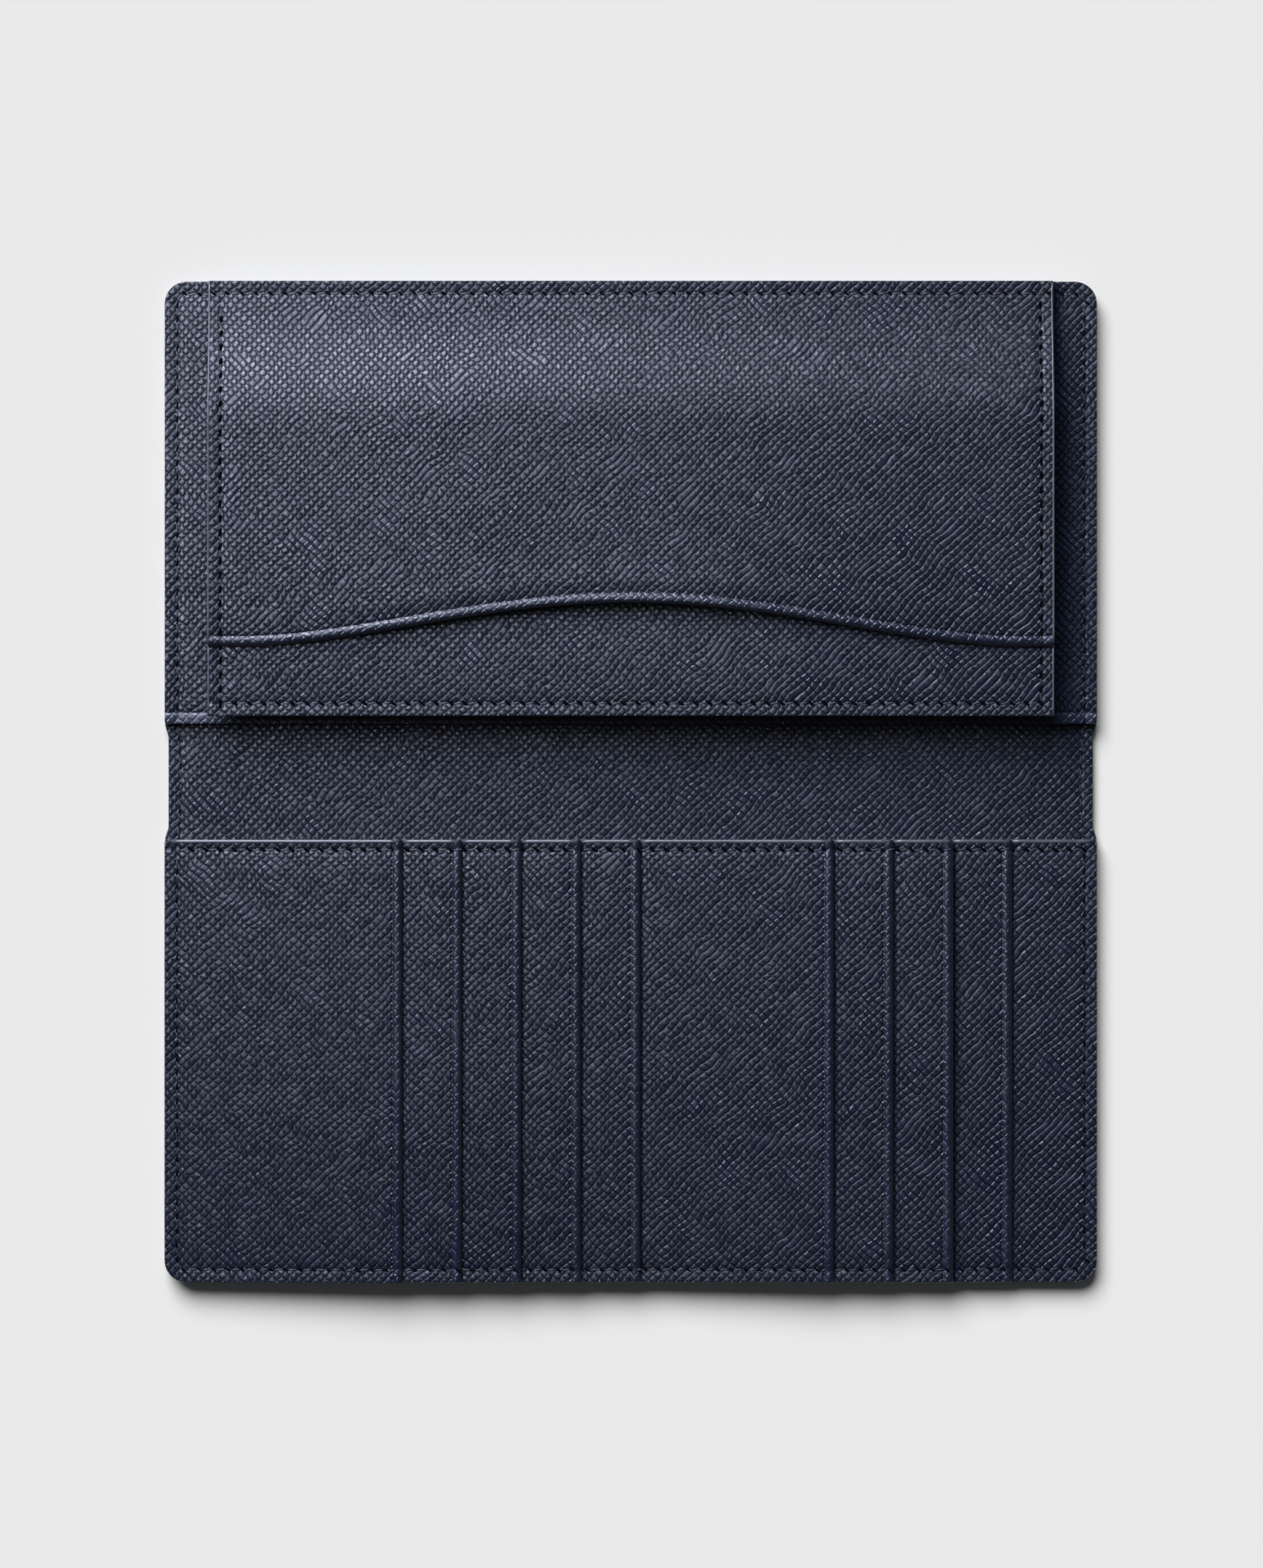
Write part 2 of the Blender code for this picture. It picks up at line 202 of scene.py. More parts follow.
class WalletStitching(bpy.types.PropertyGroup):
    """Size and place of the stitches."""

    pitch: length_setting("Stitch pitch", "Distance from one stitch to the next", 2.95 * MM)
    width: length_setting(
        "Thread width", "Width of the thread where it lies on the leather", 0.5 * MM
    )
    inset: length_setting("Seam inset", "Distance from an edge to its row of stitches", 2.6 * MM)
    slant: angle_setting("Stitch slant", "Angle of each stitch to its row", 9)
    colour: colour_setting("Thread colour", "Colour of the thread", (0.010, 0.013, 0.026))


class WalletStage(bpy.types.PropertyGroup):
    """Floor, light and camera."""

    floor_colour: colour_setting("Floor colour", "Colour of the plain floor", (0.80, 0.80, 0.80))
    key_strength: FloatProperty(
        name="Key strength", description="Strength of the main light", default=4.17
    )
    fill_strength: FloatProperty(
        name="Fill strength", description="Strength of the light from all around", default=0.05
    )
    camera_height: length_setting("Camera height", "Height of the camera over the table", 1.6, 2)


# Shape functions: where the leather lies


def smooth_step(t):
    t = min(max(t, 0.0), 1.0)
    return t * t * (3 - 2 * t)


def hollow(distance, depth, half_width):
    """A soft groove: how far it sinks the surface at a distance from its middle."""
    return -depth * math.exp(-((distance / half_width) ** 2))


def seam_sink(distance):
    """Leather pulled down along a row of stitches."""
    return hollow(distance, 0.17 * MM, 1.2 * MM) + hollow(distance, 0.10 * MM, 0.4 * MM)


def crease(distance):
    return hollow(distance, 0.24 * MM, 0.30 * MM)


def mouth_roll(behind, height=0.16 * MM):
    """The rounded back of a turned mouth, between its crease and its edge."""
    share = (behind - CREASE_INSET / 2) / (CREASE_INSET / 2)
    return height * (1 - share * share) if abs(share) < 1 else 0.0


def swell(x, y):
    """The slow rise and fall of leather that doesn't lie quite flat."""
    long_wave = math.sin(x * 61 + 1.3) * math.sin(y * 83 + 0.4)
    short_wave = math.sin(x * 143 + y * 71 + 2.1)
    return (0.10 * long_wave + 0.05 * short_wave) * MM


def side_of(y):
    """Half the width of the wallet at y, before its outer corners."""
    share = smooth_step((PANEL_EDGE - abs(y)) / (3 * MM))
    return HALF_WIDTH + (SPINE_HALF_WIDTH - HALF_WIDTH) * share


def rounded(side, end, radius):
    """Distance in from a rounded corner, from the distances to its two edges."""
    if side < radius and end < radius:
        return radius - math.hypot(radius - side, radius - end)
    return min(side, end)


def inset(x, y):
    """Distance in from the wallet's outline."""
    return rounded(side_of(y) - abs(x), OUTER_EDGE - abs(y), CORNER_RADIUS)


def corner_cut(distance, radius):
    """How far an edge is drawn in, this near to the end of it, by a corner of that radius."""
    into = min(max(radius - distance, 0.0), radius)
    return radius - math.sqrt(radius**2 - into**2)


def wrap_edge(y):
    return side_of(y) - corner_cut(OUTER_EDGE - abs(y), CORNER_RADIUS)


def panel_edge(y):
    """Half the width of an inner panel, which has a small corner at the spine."""
    outer = corner_cut(OUTER_EDGE - abs(y), CORNER_RADIUS)
    return HALF_WIDTH - max(outer, corner_cut(abs(y) - PANEL_EDGE, PANEL_CORNER))


def fitted(column, edge):
    """A column's place in a row whose edge is drawn in: only its outer part gives way."""
    keep = HALF_WIDTH - 9 * MM
    if abs(column) <= keep:
        return column
    share = (abs(column) - keep) / (HALF_WIDTH - keep)
    return math.copysign(keep + (edge - keep) * share, column)


def leaf_underside(y):
    climb = smooth_step((LEAF_HINGE.y - y) / LEAF_RISE)
    return LEAF_BACK_LOW.z + (LEAF_BACK_HIGH.z - LEAF_BACK - LEAF_BACK_LOW.z) * climb


def mouth_y(x):
    """The slip pocket's arched mouth."""
    share = min(abs(x) / (LEAF_HALF_WIDTH - MOUTH_LEVEL), 1.0)
    arch = (0.5 * (1 + math.cos(math.pi * share))) ** MOUTH_SHAPE
    return MOUTH_END + MOUTH_RISE * arch


def leaf_features(x, y, seam):
    """The sink of the leaf's seams, which all of its plies share."""
    sides = LEAF_HALF_WIDTH - abs(x)
    sink = seam_sink(sides - seam)
    if y < MOUTH_END + 20 * MM:
        sink = min(sink, seam_sink(y - LEAF_EDGE - seam))
    outer = OUTER_EDGE - y - seam
    if outer < 8 * MM:
        sink = min(sink, seam_sink(outer))
    return sink


def middle_of_leaf(x):
    """From 0 at the leaf's sides to 1 at its middle."""
    return math.cos(math.pi / 2 * x / LEAF_HALF_WIDTH) ** 2


def leaf_sag(x, y):
    """How far the leaf gives way under the slip pocket's open mouth."""
    across = middle_of_leaf(x)
    return -MOUTH_SAG * across * math.exp(-(((y - mouth_y(x)) / (7 * MM)) ** 2))


def leaf_back_top(x, y, seam):
    return leaf_underside(y) + LEAF_BACK + leaf_features(x, y, seam) + leaf_sag(x, y)


def leaf_top(x, y, seam):
    lift = LEAF_BACK + LAYER_GAP + LEAF_FRONT
    relief = leaf_features(x, y, seam)
    sag = 0.25 * MM * math.sin(x * 47 + 0.8) * smooth_step((MOUTH_END - y) / (15 * MM))
    sag *= smooth_step((LEAF_HALF_WIDTH - abs(x)) / (25 * MM))
    return leaf_underside(y) + lift + relief + swell(x, y) + sag + leaf_sag(x, y)


def slip_top(x, y, seam):
    lift = LEAF_BACK + LEAF_FRONT + SLIP_POCKET + 2 * LAYER_GAP
    start = mouth_y(x)
    slope = (mouth_y(x + 0.5 * MM) - mouth_y(x - 0.5 * MM)) / MM
    from_mouth = (y - start) / math.hypot(1, slope)
    share = (y - start) / (LEAF_HINGE.y - LEAF_RISE - start)
    across = middle_of_leaf(x)
    gape = MOUTH_GAPE * across * max(1 - 1.6 * share, 0.0) ** 2
    wave = 0.18 * MM * math.sin(x * 95 + 0.6) * across * max(1 - 2.5 * share, 0.0)
    puff = 0.5 * MM * across * math.sin(math.pi * min(max(share, 0.0), 1.0)) ** 2
    relief = leaf_features(x, y, seam) + crease(from_mouth - CREASE_INSET)
    relief += mouth_roll(from_mouth, 0.06 * MM)
    return leaf_underside(y) + lift + gape + wave + puff + relief + swell(x, y)


def outline_sink(x, y, seam):
    """The sink of the perimeter seam."""
    return seam_sink(inset(x, y) - seam)


def card_sink(x, y, seam):
    """The sink of the card half's two seams."""
    return min(outline_sink(x, y, seam), seam_sink(-PANEL_EDGE - y - MOUTH_SEAM))


def note_top(x, y, seam):
    """The note panel: sunk along its perimeter seam, with a turned edge at the spine."""
    sink = outline_sink(x, y, seam)
    turned = crease(y - PANEL_EDGE - TURNED_EDGE)
    return PANEL_TOP["note_half"] + sink + turned


def card_base_top(x, y, seam):
    return PANEL_TOP["card_half"] + card_sink(x, y, seam)


def pocket_planes():
    """Each pocket's plane from its solid: where it starts, its mouth and its underside at both."""
    planes = {}
    for number in POCKETS:
        low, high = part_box(f"card_pocket_{number}")
        planes[number] = (low.x, high.x, low.z, high.z - POCKET_FACE)
    return planes


POCKET_PLANES = pocket_planes()


def pocket_top(number, x, y, seam):
    start, mouth, low, high = POCKET_PLANES[number]
    lie = low + (high - low) * (x - start) / (mouth - start) + POCKET_FACE
    depth = OUTER_EDGE - PANEL_EDGE
    middle = max(math.sin(math.pi * (-PANEL_EDGE - y) / depth), 0.0) ** 0.6
    behind = max(mouth - x, 0.0)
    lip = LIP_LIFT * middle * math.exp(-behind / (9 * MM))
    roll = mouth_roll(behind)
    sink = card_sink(x, y, seam)
    press = 0.0
    if number > 1:
        beside = x - POCKET_PLANES[number - 1][1]
        press = hollow(beside - PRESS_INSET, 0.18 * MM, 0.6 * MM)
    return lie + sink + crease(behind - CREASE_INSET) + lip + roll + press + swell(x, y) * 0.6


def pocket_at(x):
    """The pocket whose face is uppermost at x, or None past the last mouth."""
    for number in POCKETS:
        if x <= POCKET_PLANES[number][1]:
            return number
    return None


def card_top(x, y, seam):
    number = pocket_at(x)
    if number is None:
        return card_base_top(x, y, seam)
    return pocket_top(number, x, y, seam)


def lining_top(y):
    climb = min(max((abs(y) - PANEL_EDGE) / (2 * MM), 0.0), 1.0)
    return SPINE_LINING_TOP + (LINING_TOP - SPINE_LINING_TOP) * climb


def spine_top(x, y, seam):
    return lining_top(y) + seam_sink(side_of(y) - abs(x) - seam) + 0.4 * swell(x, y)


def cover_bottom(x, y, seam):
    return -outline_sink(x, y, seam) * 0.8


def note_stack_top(x, y, seam):
    """The uppermost leather of the note half along its outer seam."""
    if abs(x) < LEAF_HALF_WIDTH and y > MOUTH_END:
        return slip_top(x, y, seam)
    return note_top(x, y, seam)


def leaf_stack_top(x, y, seam):
    return slip_top(x, y, seam) if y >= mouth_y(x) else leaf_top(x, y, seam)


# Node groups and materials


class Nodes:
    """Adds nodes to a tree and links them, in the order they are used."""

    def __init__(self, tree):
        self.tree = tree
        tree.nodes.clear()

    def add(self, kind, **settings):
        node = self.tree.nodes.new(kind)
        for key, value in settings.items():
            setattr(node, key, value)
        return node

    def put(self, socket, value):
        if isinstance(value, bpy.types.NodeSocket):
            self.tree.links.new(value, socket)
        else:
            socket.default_value = value

    def maths(self, operation, *values):
        node = self.add("ShaderNodeMath", operation=operation)
        for socket, value in zip(node.inputs, values):
            self.put(socket, value)
        return node.outputs[0]

    def times(self, first, second):
        return self.maths("MULTIPLY", first, second)

    def times_plus(self, first, second, third):
        return self.maths("MULTIPLY_ADD", first, second, third)

    def minus(self, first, second):
        return self.maths("SUBTRACT", first, second)

    def vector(self, operation, *values):
        node = self.add("ShaderNodeVectorMath", operation=operation)
        for socket, value in zip(node.inputs, values):
            self.put(socket, value)
        return node.outputs["Vector"]

    def scaled(self, vector, size):
        node = self.add("ShaderNodeVectorMath", operation="SCALE")
        self.put(node.inputs[0], vector)
        self.put(node.inputs["Scale"], size)
        return node.outputs[0]

    def place(self):
        return self.add("ShaderNodeTexCoord").outputs["Object"]

    def grain_place(self):
        return self.add("ShaderNodeUVMap", uv_map="grain").outputs[0]

    def noise(self, vector, scale, detail=2.0, output="Fac"):
        node = self.add("ShaderNodeTexNoise")
        self.put(node.inputs["Vector"], vector)
        node.inputs["Scale"].default_value = scale
        node.inputs["Detail"].default_value = detail
        return node.outputs[output]

    def span(self, value, low, high, to_low=0.0, to_high=1.0, smooth=True):
        node = self.add("ShaderNodeMapRange")
        node.interpolation_type = "SMOOTHSTEP" if smooth else "LINEAR"
        inputs = (value, low, high, to_low, to_high)
        for socket, each in zip(node.inputs, inputs):
            self.put(socket, each)
        return node.outputs[0]

    def mix(self, share, first, second):
        node = self.add("ShaderNodeMix", data_type="RGBA")
        self.put(node.inputs["Factor"], share)
        self.put(node.inputs["A"], first)
        self.put(node.inputs["B"], second)
        return node.outputs["Result"]


def node_group(name, inputs, outputs):
    group = bpy.data.node_groups.new(name, "ShaderNodeTree")
    for label, kind, default in inputs:
        socket = group.interface.new_socket(label, in_out="INPUT", socket_type=kind)
        if default is not None:
            socket.default_value = default
    for label, kind in outputs:
        group.interface.new_socket(label, in_out="OUTPUT", socket_type=kind)
    nodes = Nodes(group)
    return group, nodes, nodes.add("NodeGroupInput"), nodes.add("NodeGroupOutput")


def groove_family(nodes, place, spacing, slant, sign):
    """One direction of grooves: the place across a strip, from -1 to 1, and the strip's number."""
    turn = nodes.add("ShaderNodeVectorRotate", rotation_type="Z_AXIS")
    nodes.put(turn.inputs["Vector"], place)
    nodes.put(turn.inputs["Angle"], nodes.times(slant, sign))
    split = nodes.add("ShaderNodeSeparateXYZ")
    nodes.put(split.inputs[0], turn.outputs[0])
    strip = nodes.maths("DIVIDE", split.outputs["Y"], spacing)
    part = nodes.maths("FRACT", strip)
    across = nodes.times_plus(part, 2.0, -1.0)
    return across, nodes.maths("FLOOR", strip)


def cross_grain_group():
    """Embossed cross grain: rows of pillows that wander and here and there run together."""
    group, nodes, given, result = node_group(
        "Cross grain",
        [
            ("Vector", "NodeSocketVector", None),
            ("Spacing", "NodeSocketFloat", 1.2 * MM),
            ("Slant", "NodeSocketFloat", math.radians(45)),
            ("Wander", "NodeSocketFloat", 1.1 * MM),
            ("Plain", "NodeSocketFloat", 0.0),
        ],
        [
            ("Height", "NodeSocketFloat"),
            ("Groove", "NodeSocketFloat"),
            ("Cell", "NodeSocketFloat"),
        ],
    )
    place = given.outputs["Vector"]
    drift = nodes.noise(place, 150.0, 3.0, "Color")
    drift = nodes.vector("SUBTRACT", drift, (0.5, 0.5, 0.5))
    shift = nodes.scaled(drift, nodes.times(given.outputs["Wander"], 2.0))
    wandering = nodes.vector("ADD", place, shift)
    spacing, slant = given.outputs["Spacing"], given.outputs["Slant"]
    rise, rise_strip = groove_family(nodes, wandering, spacing, slant, 1.0)
    fall, fall_strip = groove_family(nodes, wandering, spacing, slant, -1.0)
    cell_place = nodes.add("ShaderNodeCombineXYZ")
    nodes.put(cell_place.inputs[0], rise_strip)
    nodes.put(cell_place.inputs[1], fall_strip)
    cell = nodes.add("ShaderNodeTexWhiteNoise", noise_dimensions="2D")
    nodes.put(cell.inputs["Vector"], cell_place.outputs[0])
    chance = nodes.add("ShaderNodeSeparateColor")
    nodes.put(chance.inputs[0], cell.outputs["Color"])
    patch = nodes.noise(place, 130.0, 2.5)
    keep_rise = nodes.span(patch, 0.33, 0.43, 0.2, 1.0)
    keep_fall = nodes.span(patch, 0.67, 0.57, 0.2, 1.0)
    grooves, sag = [], []
    for across, keep in ((rise, keep_rise), (fall, keep_fall)):
        out = nodes.maths("ABSOLUTE", across)
        grooves.append(nodes.times(nodes.span(out, 0.60, 1.0), keep))
        sag.append(nodes.times(nodes.times(out, out), keep))
    face = nodes.times(nodes.minus(1.0, grooves[0]), nodes.minus(1.0, grooves[1]))
    pillow = nodes.times_plus(nodes.maths("ADD", *sag), -0.36, 1.0)
    crown = nodes.span(cell.outputs[0], 0, 1, 0.75, 1.0)
    lean_rise = nodes.times(nodes.minus(chance.outputs[0], 0.5), rise)
    lean_fall = nodes.times(nodes.minus(chance.outputs[1], 0.5), fall)
    lean = nodes.times(nodes.maths("ADD", lean_rise, lean_fall), 0.20)
    top = nodes.times_plus(pillow, crown, lean)
    lumps = nodes.noise(place, 1100.0, 3.0)
    top = nodes.times_plus(lumps, 0.25, top)
    height = nodes.times(top, face)
    embossed = nodes.minus(1.0, given.outputs["Plain"])
    flat = nodes.times(given.outputs["Plain"], 0.95)
    height = nodes.times_plus(height, embossed, flat)
    groove = nodes.times(nodes.minus(1.0, face), embossed)
    nodes.put(result.inputs["Height"], height)
    nodes.put(result.inputs["Groove"], groove)
    nodes.put(result.inputs["Cell"], chance.outputs[2])
    return group


def handling_group():
    """Slow changes over a handled surface: its tone, and where it is rubbed smoother."""
    group, nodes, given, result = node_group(
        "Handling",
        [("Vector", "NodeSocketVector", None), ("Size", "NodeSocketFloat", 30.0)],
        [("Tone", "NodeSocketFloat"), ("Rub", "NodeSocketFloat")],
    )
    scaled = nodes.scaled(given.outputs["Vector"], given.outputs["Size"])
    nodes.put(result.inputs["Tone"], nodes.noise(scaled, 1.0, 3.0))
    shifted = nodes.vector("ADD", scaled, (7.1, 3.7, 1.9))
    rub = nodes.span(nodes.noise(shifted, 0.8, 4.0), 0.42, 0.68)
    nodes.put(result.inputs["Rub"], rub)
    return group


def group_node(nodes, name):
    node = nodes.add("ShaderNodeGroup")
    node.node_tree = bpy.data.node_groups[name]
    return node


def new_material(name):
    material = bpy.data.materials.new(name)
    material.use_nodes = True
    nodes = Nodes(material.node_tree)
    shader = nodes.add("ShaderNodeBsdfPrincipled")
    output = nodes.add("ShaderNodeOutputMaterial")
    nodes.put(output.inputs["Surface"], shader.outputs[0])
    return material, nodes, shader


def paint(nodes, shader, colour, roughness):
    nodes.put(shader.inputs["Base Color"], colour)
    nodes.put(shader.inputs["Roughness"], roughness)


def emboss(nodes, shader, height, distance):
    bump = nodes.add("ShaderNodeBump")
    bump.inputs["Distance"].default_value = distance
    nodes.put(bump.inputs["Height"], height)
    nodes.put(shader.inputs["Normal"], bump.outputs[0])


def tinted(colour, red, green=None, blue=None):
    """A colour with its parts multiplied, all alike if only one factor is given."""
    factors = (red, green or red, blue or red)
    return (*[part * factor for part, factor in zip(colour, factors)], 1)


def handling(nodes, place):
    """The tone and rub of a handled surface."""
    wear = group_node(nodes, "Handling")
    nodes.put(wear.inputs["Vector"], place)
    return wear.outputs["Tone"], wear.outputs["Rub"]


def leather_material(name, leather, shade=1.0, roughness=0.33):
    """Cross-grained leather: darker in its grooves, which is painted shade, and duller there;
    glossier on its crowns.
    """
    made, nodes, shader = new_material(name)
    place = nodes.grain_place()
    plain = nodes.add("ShaderNodeAttribute", attribute_name="plain").outputs["Fac"]
    grain = group_node(nodes, "Cross grain")
    nodes.put(grain.inputs["Vector"], place)
    nodes.put(grain.inputs["Plain"], plain)
    grain.inputs["Spacing"].default_value = leather.spacing
    grain.inputs["Slant"].default_value = leather.slant
    height, grooves, cells = grain.outputs
    tone, rub = handling(nodes, place)
    face = tinted(leather.colour, shade)
    tone = nodes.span(tone, 0.3, 0.7)
    light = nodes.mix(tone, tinted(face, 0.88), tinted(face, 1.12, 1.10, 1.06))
    light = nodes.mix(nodes.times(cells, 0.30), light, tinted(face, 1.5, 1.45, 1.35))
    # Painted shade: the grooves are darkened towards the groove colour.
    colour = nodes.mix(grooves, light, tinted(leather.groove_shade_colour, shade))
    rough = nodes.span(cells, 0, 1, roughness, roughness + 0.16)
    rough = nodes.times_plus(grooves, 0.12, rough)
    paint(nodes, shader, colour, nodes.minus(rough, nodes.times(rub, 0.06)))
    emboss(nodes, shader, height, leather.depth)
    return made


def smooth_leather_material(name, leather):
    """The fine-grained leather of the gussets and the leaf's back."""
    made, nodes, shader = new_material(name)
    place = nodes.grain_place()
    pebbles = nodes.add("ShaderNodeTexVoronoi", feature="DISTANCE_TO_EDGE")
    nodes.put(pebbles.inputs["Vector"], place)
    pebbles.inputs["Scale"].default_value = 1500.0
    tone, rub = handling(nodes, place)
    colour = tinted(leather.colour, 0.8)
    tone = nodes.mix(tone, tinted(colour, 0.8), tinted(colour, 1.25))
    paint(nodes, shader, tone, nodes.span(rub, 0, 1, 0.62, 0.5))
    emboss(nodes, shader, nodes.span(pebbles.outputs[0], 0.0, 0.25), 0.04 * MM)
    return made


def edge_material(name):
    """Edge paint: nearly black with a navy cast, brushed on a little unevenly."""
    made, nodes, shader = new_material(name)
    place = nodes.place()
    uneven = nodes.noise(place, 420.0, 3.0)
    colour = nodes.mix(uneven, (0.006, 0.008, 0.015, 1), (0.014, 0.018, 0.030, 1))
    paint(nodes, shader, colour, nodes.span(uneven, 0.3, 0.7, 0.20, 0.36))
    emboss(nodes, shader, nodes.noise(place, 900.0, 2.0), 0.05 * MM)
    return made


def highlight_edge_material(name):
    """Edge paint lightened as a painted highlight along the beads' crests, and glossy."""
    made, nodes, shader = new_material(name)
    uneven = nodes.noise(nodes.place(), 260.0, 3.0)
    # Much lighter than the edge paint: a painted highlight along the beads' crests.
    colour = nodes.mix(uneven, (0.045, 0.052, 0.075, 1), (0.095, 0.105, 0.140, 1))
    paint(nodes, shader, colour, nodes.span(uneven, 0.3, 0.7, 0.22, 0.36))
    return made


def thread_material(name, stitching):
    """Waxed thread, with the twist of its plies."""
    made, nodes, shader = new_material(name)
    twist = nodes.add("ShaderNodeTexWave", wave_type="BANDS", bands_direction="DIAGONAL")
    nodes.put(twist.inputs["Vector"], nodes.place())
    twist.inputs["Scale"].default_value = 700.0
    twist.inputs["Distortion"].default_value = 1.5
    ply = twist.outputs["Fac"]
    colour = nodes.mix(ply, tinted(stitching.colour, 0.55), (*stitching.colour, 1))
    paint(nodes, shader, colour, nodes.span(ply, 0, 1, 0.6, 0.42))
    emboss(nodes, shader, ply, 0.04 * MM)
    return made


def hole_shade_material(name):
    """Near black and without reflection: painted shade in the awl holes that the stitches go down
    into.
    """
    made, nodes, shader = new_material(name)
    speckle = nodes.noise(nodes.place(), 3000.0)
    # Painted shade: near black, a little uneven.
    colour = nodes.mix(speckle, (0.001, 0.001, 0.002, 1), (0.004, 0.005, 0.008, 1))
    paint(nodes, shader, colour, 0.9)
    shader.inputs["Specular IOR Level"].default_value = 0.0
    return made


def board_material(name):
    """Pressed grey board."""
    made, nodes, shader = new_material(name)
    fibres = nodes.noise(nodes.place(), 900.0, 5.0)
    colour = nodes.mix(fibres, (0.07, 0.06, 0.05, 1), (0.14, 0.12, 0.10, 1))
    paint(nodes, shader, colour, nodes.span(fibres, 0, 1, 0.95, 0.8))
    return made


def fabric_material(name):
    """Plain-woven pocket lining."""
    made, nodes, shader = new_material(name)
    weave = nodes.add("ShaderNodeTexChecker")
    nodes.put(weave.inputs["Vector"], nodes.place())
    weave.inputs["Scale"].default_value = 3000.0
    yarn = weave.outputs["Fac"]
    colour = nodes.mix(yarn, (0.010, 0.012, 0.022, 1), (0.018, 0.022, 0.036, 1))
    paint(nodes, shader, colour, nodes.span(yarn, 0, 1, 0.9, 0.8))
    return made


def material(name):
    """A finish by name, made the first time that it is asked for."""
    found = bpy.data.materials.get(name)
    if found:
        return found
    if "Cross grain" not in bpy.data.node_groups:
        cross_grain_group()
        handling_group()
    scene = bpy.context.scene
    leather, stitching = scene.wallet_leather, scene.wallet_stitching
    makers = {
        "Inside leather": lambda: leather_material(name, leather),
        "Cover leather": lambda: leather_material(name, leather, shade=0.95, roughness=0.40),
        "Fine leather": lambda: smooth_leather_material(name, leather),
        "Edge paint": lambda: edge_material(name),
        "Painted highlight edge": lambda: highlight_edge_material(name),
        "Waxed thread": lambda: thread_material(name, stitching),
        "Painted hole shade": lambda: hole_shade_material(name),
        "Grey board": lambda: board_material(name),
        "Pocket lining": lambda: fabric_material(name),
    }
    return makers[name]()


# Makers of pieces

# The slits of stitches, near-black beads of painted shade in the stitch holes: their slant, and
# half their length, width and height
SLIT_UPRIGHT = math.radians(80)
SLIT_LEVEL = math.radians(-42)
OPEN_SLIT_SHADES = ((1.05 * MM, 0.40 * MM, 0.22 * MM), (1.02 * MM, 0.36 * MM, 0.22 * MM))
TIGHT_SLIT_SHADES = ((0.90 * MM, 0.25 * MM, 0.18 * MM), (0.85 * MM, 0.28 * MM, 0.18 * MM))
FINE_SLIT_SHADES = ((0.55 * MM, 0.15 * MM, 0.12 * MM), (0.55 * MM, 0.15 * MM, 0.12 * MM))


def spread(start, end, step, lines=(), reach=0.9 * MM):
    """Grid lines from start to end: even ones, with closer ones beside each seam and crease."""
    fine = [start, end]
    for line in lines:
        fine += [line + reach * k for k in (-2, -1.2, -0.7, -0.35, 0, 0.35, 0.7, 1.2, 2)]
    for inward in (0.45, 1.1):
        fine += [start + inward * MM, end - inward * MM]
    fine = sorted(value for value in fine if start <= value <= end)
    kept = []
    for value in fine:
        if not kept or value - kept[-1] > 0.12 * MM:
            kept.append(value)
    if end - kept[-1] > 0:
        kept[-1] = end
    count = max(1, math.ceil((end - start) / step))
    for i in range(1, count):
        value = start + (end - start) * i / count
        if min(abs(value - other) for other in kept) > 0.45 * step:
            kept.append(value)
    return sorted(kept)


def laid_grid(columns, rows, place, plain=None):
    """A bmesh grid whose corners are laid by place(column, row), with its grain map."""
    bm = bmesh.new()
    across, along = len(columns) - 1, len(rows) - 1
    bmesh.ops.create_grid(bm, x_segments=across, y_segments=along, size=0.5)
    smooth_grain = bm.verts.layers.float.new("plain")
    for vertex in bm.verts:
        column = columns[round((vertex.co.x + 0.5) * across)]
        row = rows[round((vertex.co.y + 0.5) * along)]
        vertex.co = place(column, row)
        if plain:
            vertex[smooth_grain] = plain(vertex.co.x, vertex.co.y)
    grain = bm.loops.layers.uv.new("grain")
    for face in bm.faces:
        face.smooth = True
        for loop in face.loops:
            loop[grain].uv = loop.vert.co.xy
    return bm


def lay(surface, edge=None):
    """A place for laid_grid: on a surface, with each column drawn in to the edge of its row."""
    seam = bpy.context.scene.wallet_stitching.inset

    def place(column, y):
        x = fitted(column, edge(y)) if edge else column
        return (x, y, surface(x, y, seam))

    return place


def wallet_columns(step):
    """Columns over the whole width, closer together along the two side seams."""
    side = HALF_WIDTH - bpy.context.scene.wallet_stitching.inset
    return spread(-HALF_WIDTH, HALF_WIDTH, step, [-side, side])


def piece(name, bm, materials):
    """Puts a bmesh in the scene as a named piece with its finishes."""
    mesh = bpy.data.meshes.new(name)
    bm.to_mesh(mesh)
    bm.free()
    obj = bpy.data.objects.new(name, mesh)
    bpy.context.scene.collection.objects.link(obj)
    for each in materials:
        mesh.materials.append(material(each))
    return obj


def leather_sheet(name, bm, thickness, finish="Inside leather"):
    """Gives a laid grid its thickness, painted edges and softened corners."""
    obj = piece(name, bm, [finish, "Edge paint"])
    wall = obj.modifiers.new("thickness", "SOLIDIFY")
    wall.thickness = thickness
    wall.offset = -1
    wall.material_offset_rim = 1
    wall.use_even_offset = False
    soften = obj.modifiers.new("soft edges", "BEVEL")
    soften.width = min(EDGE_ROUNDING, thickness * 0.4)
    soften.segments = 3
    soften.limit_method = "ANGLE"
    soften.angle_limit = SHARP_ANGLE
    return obj


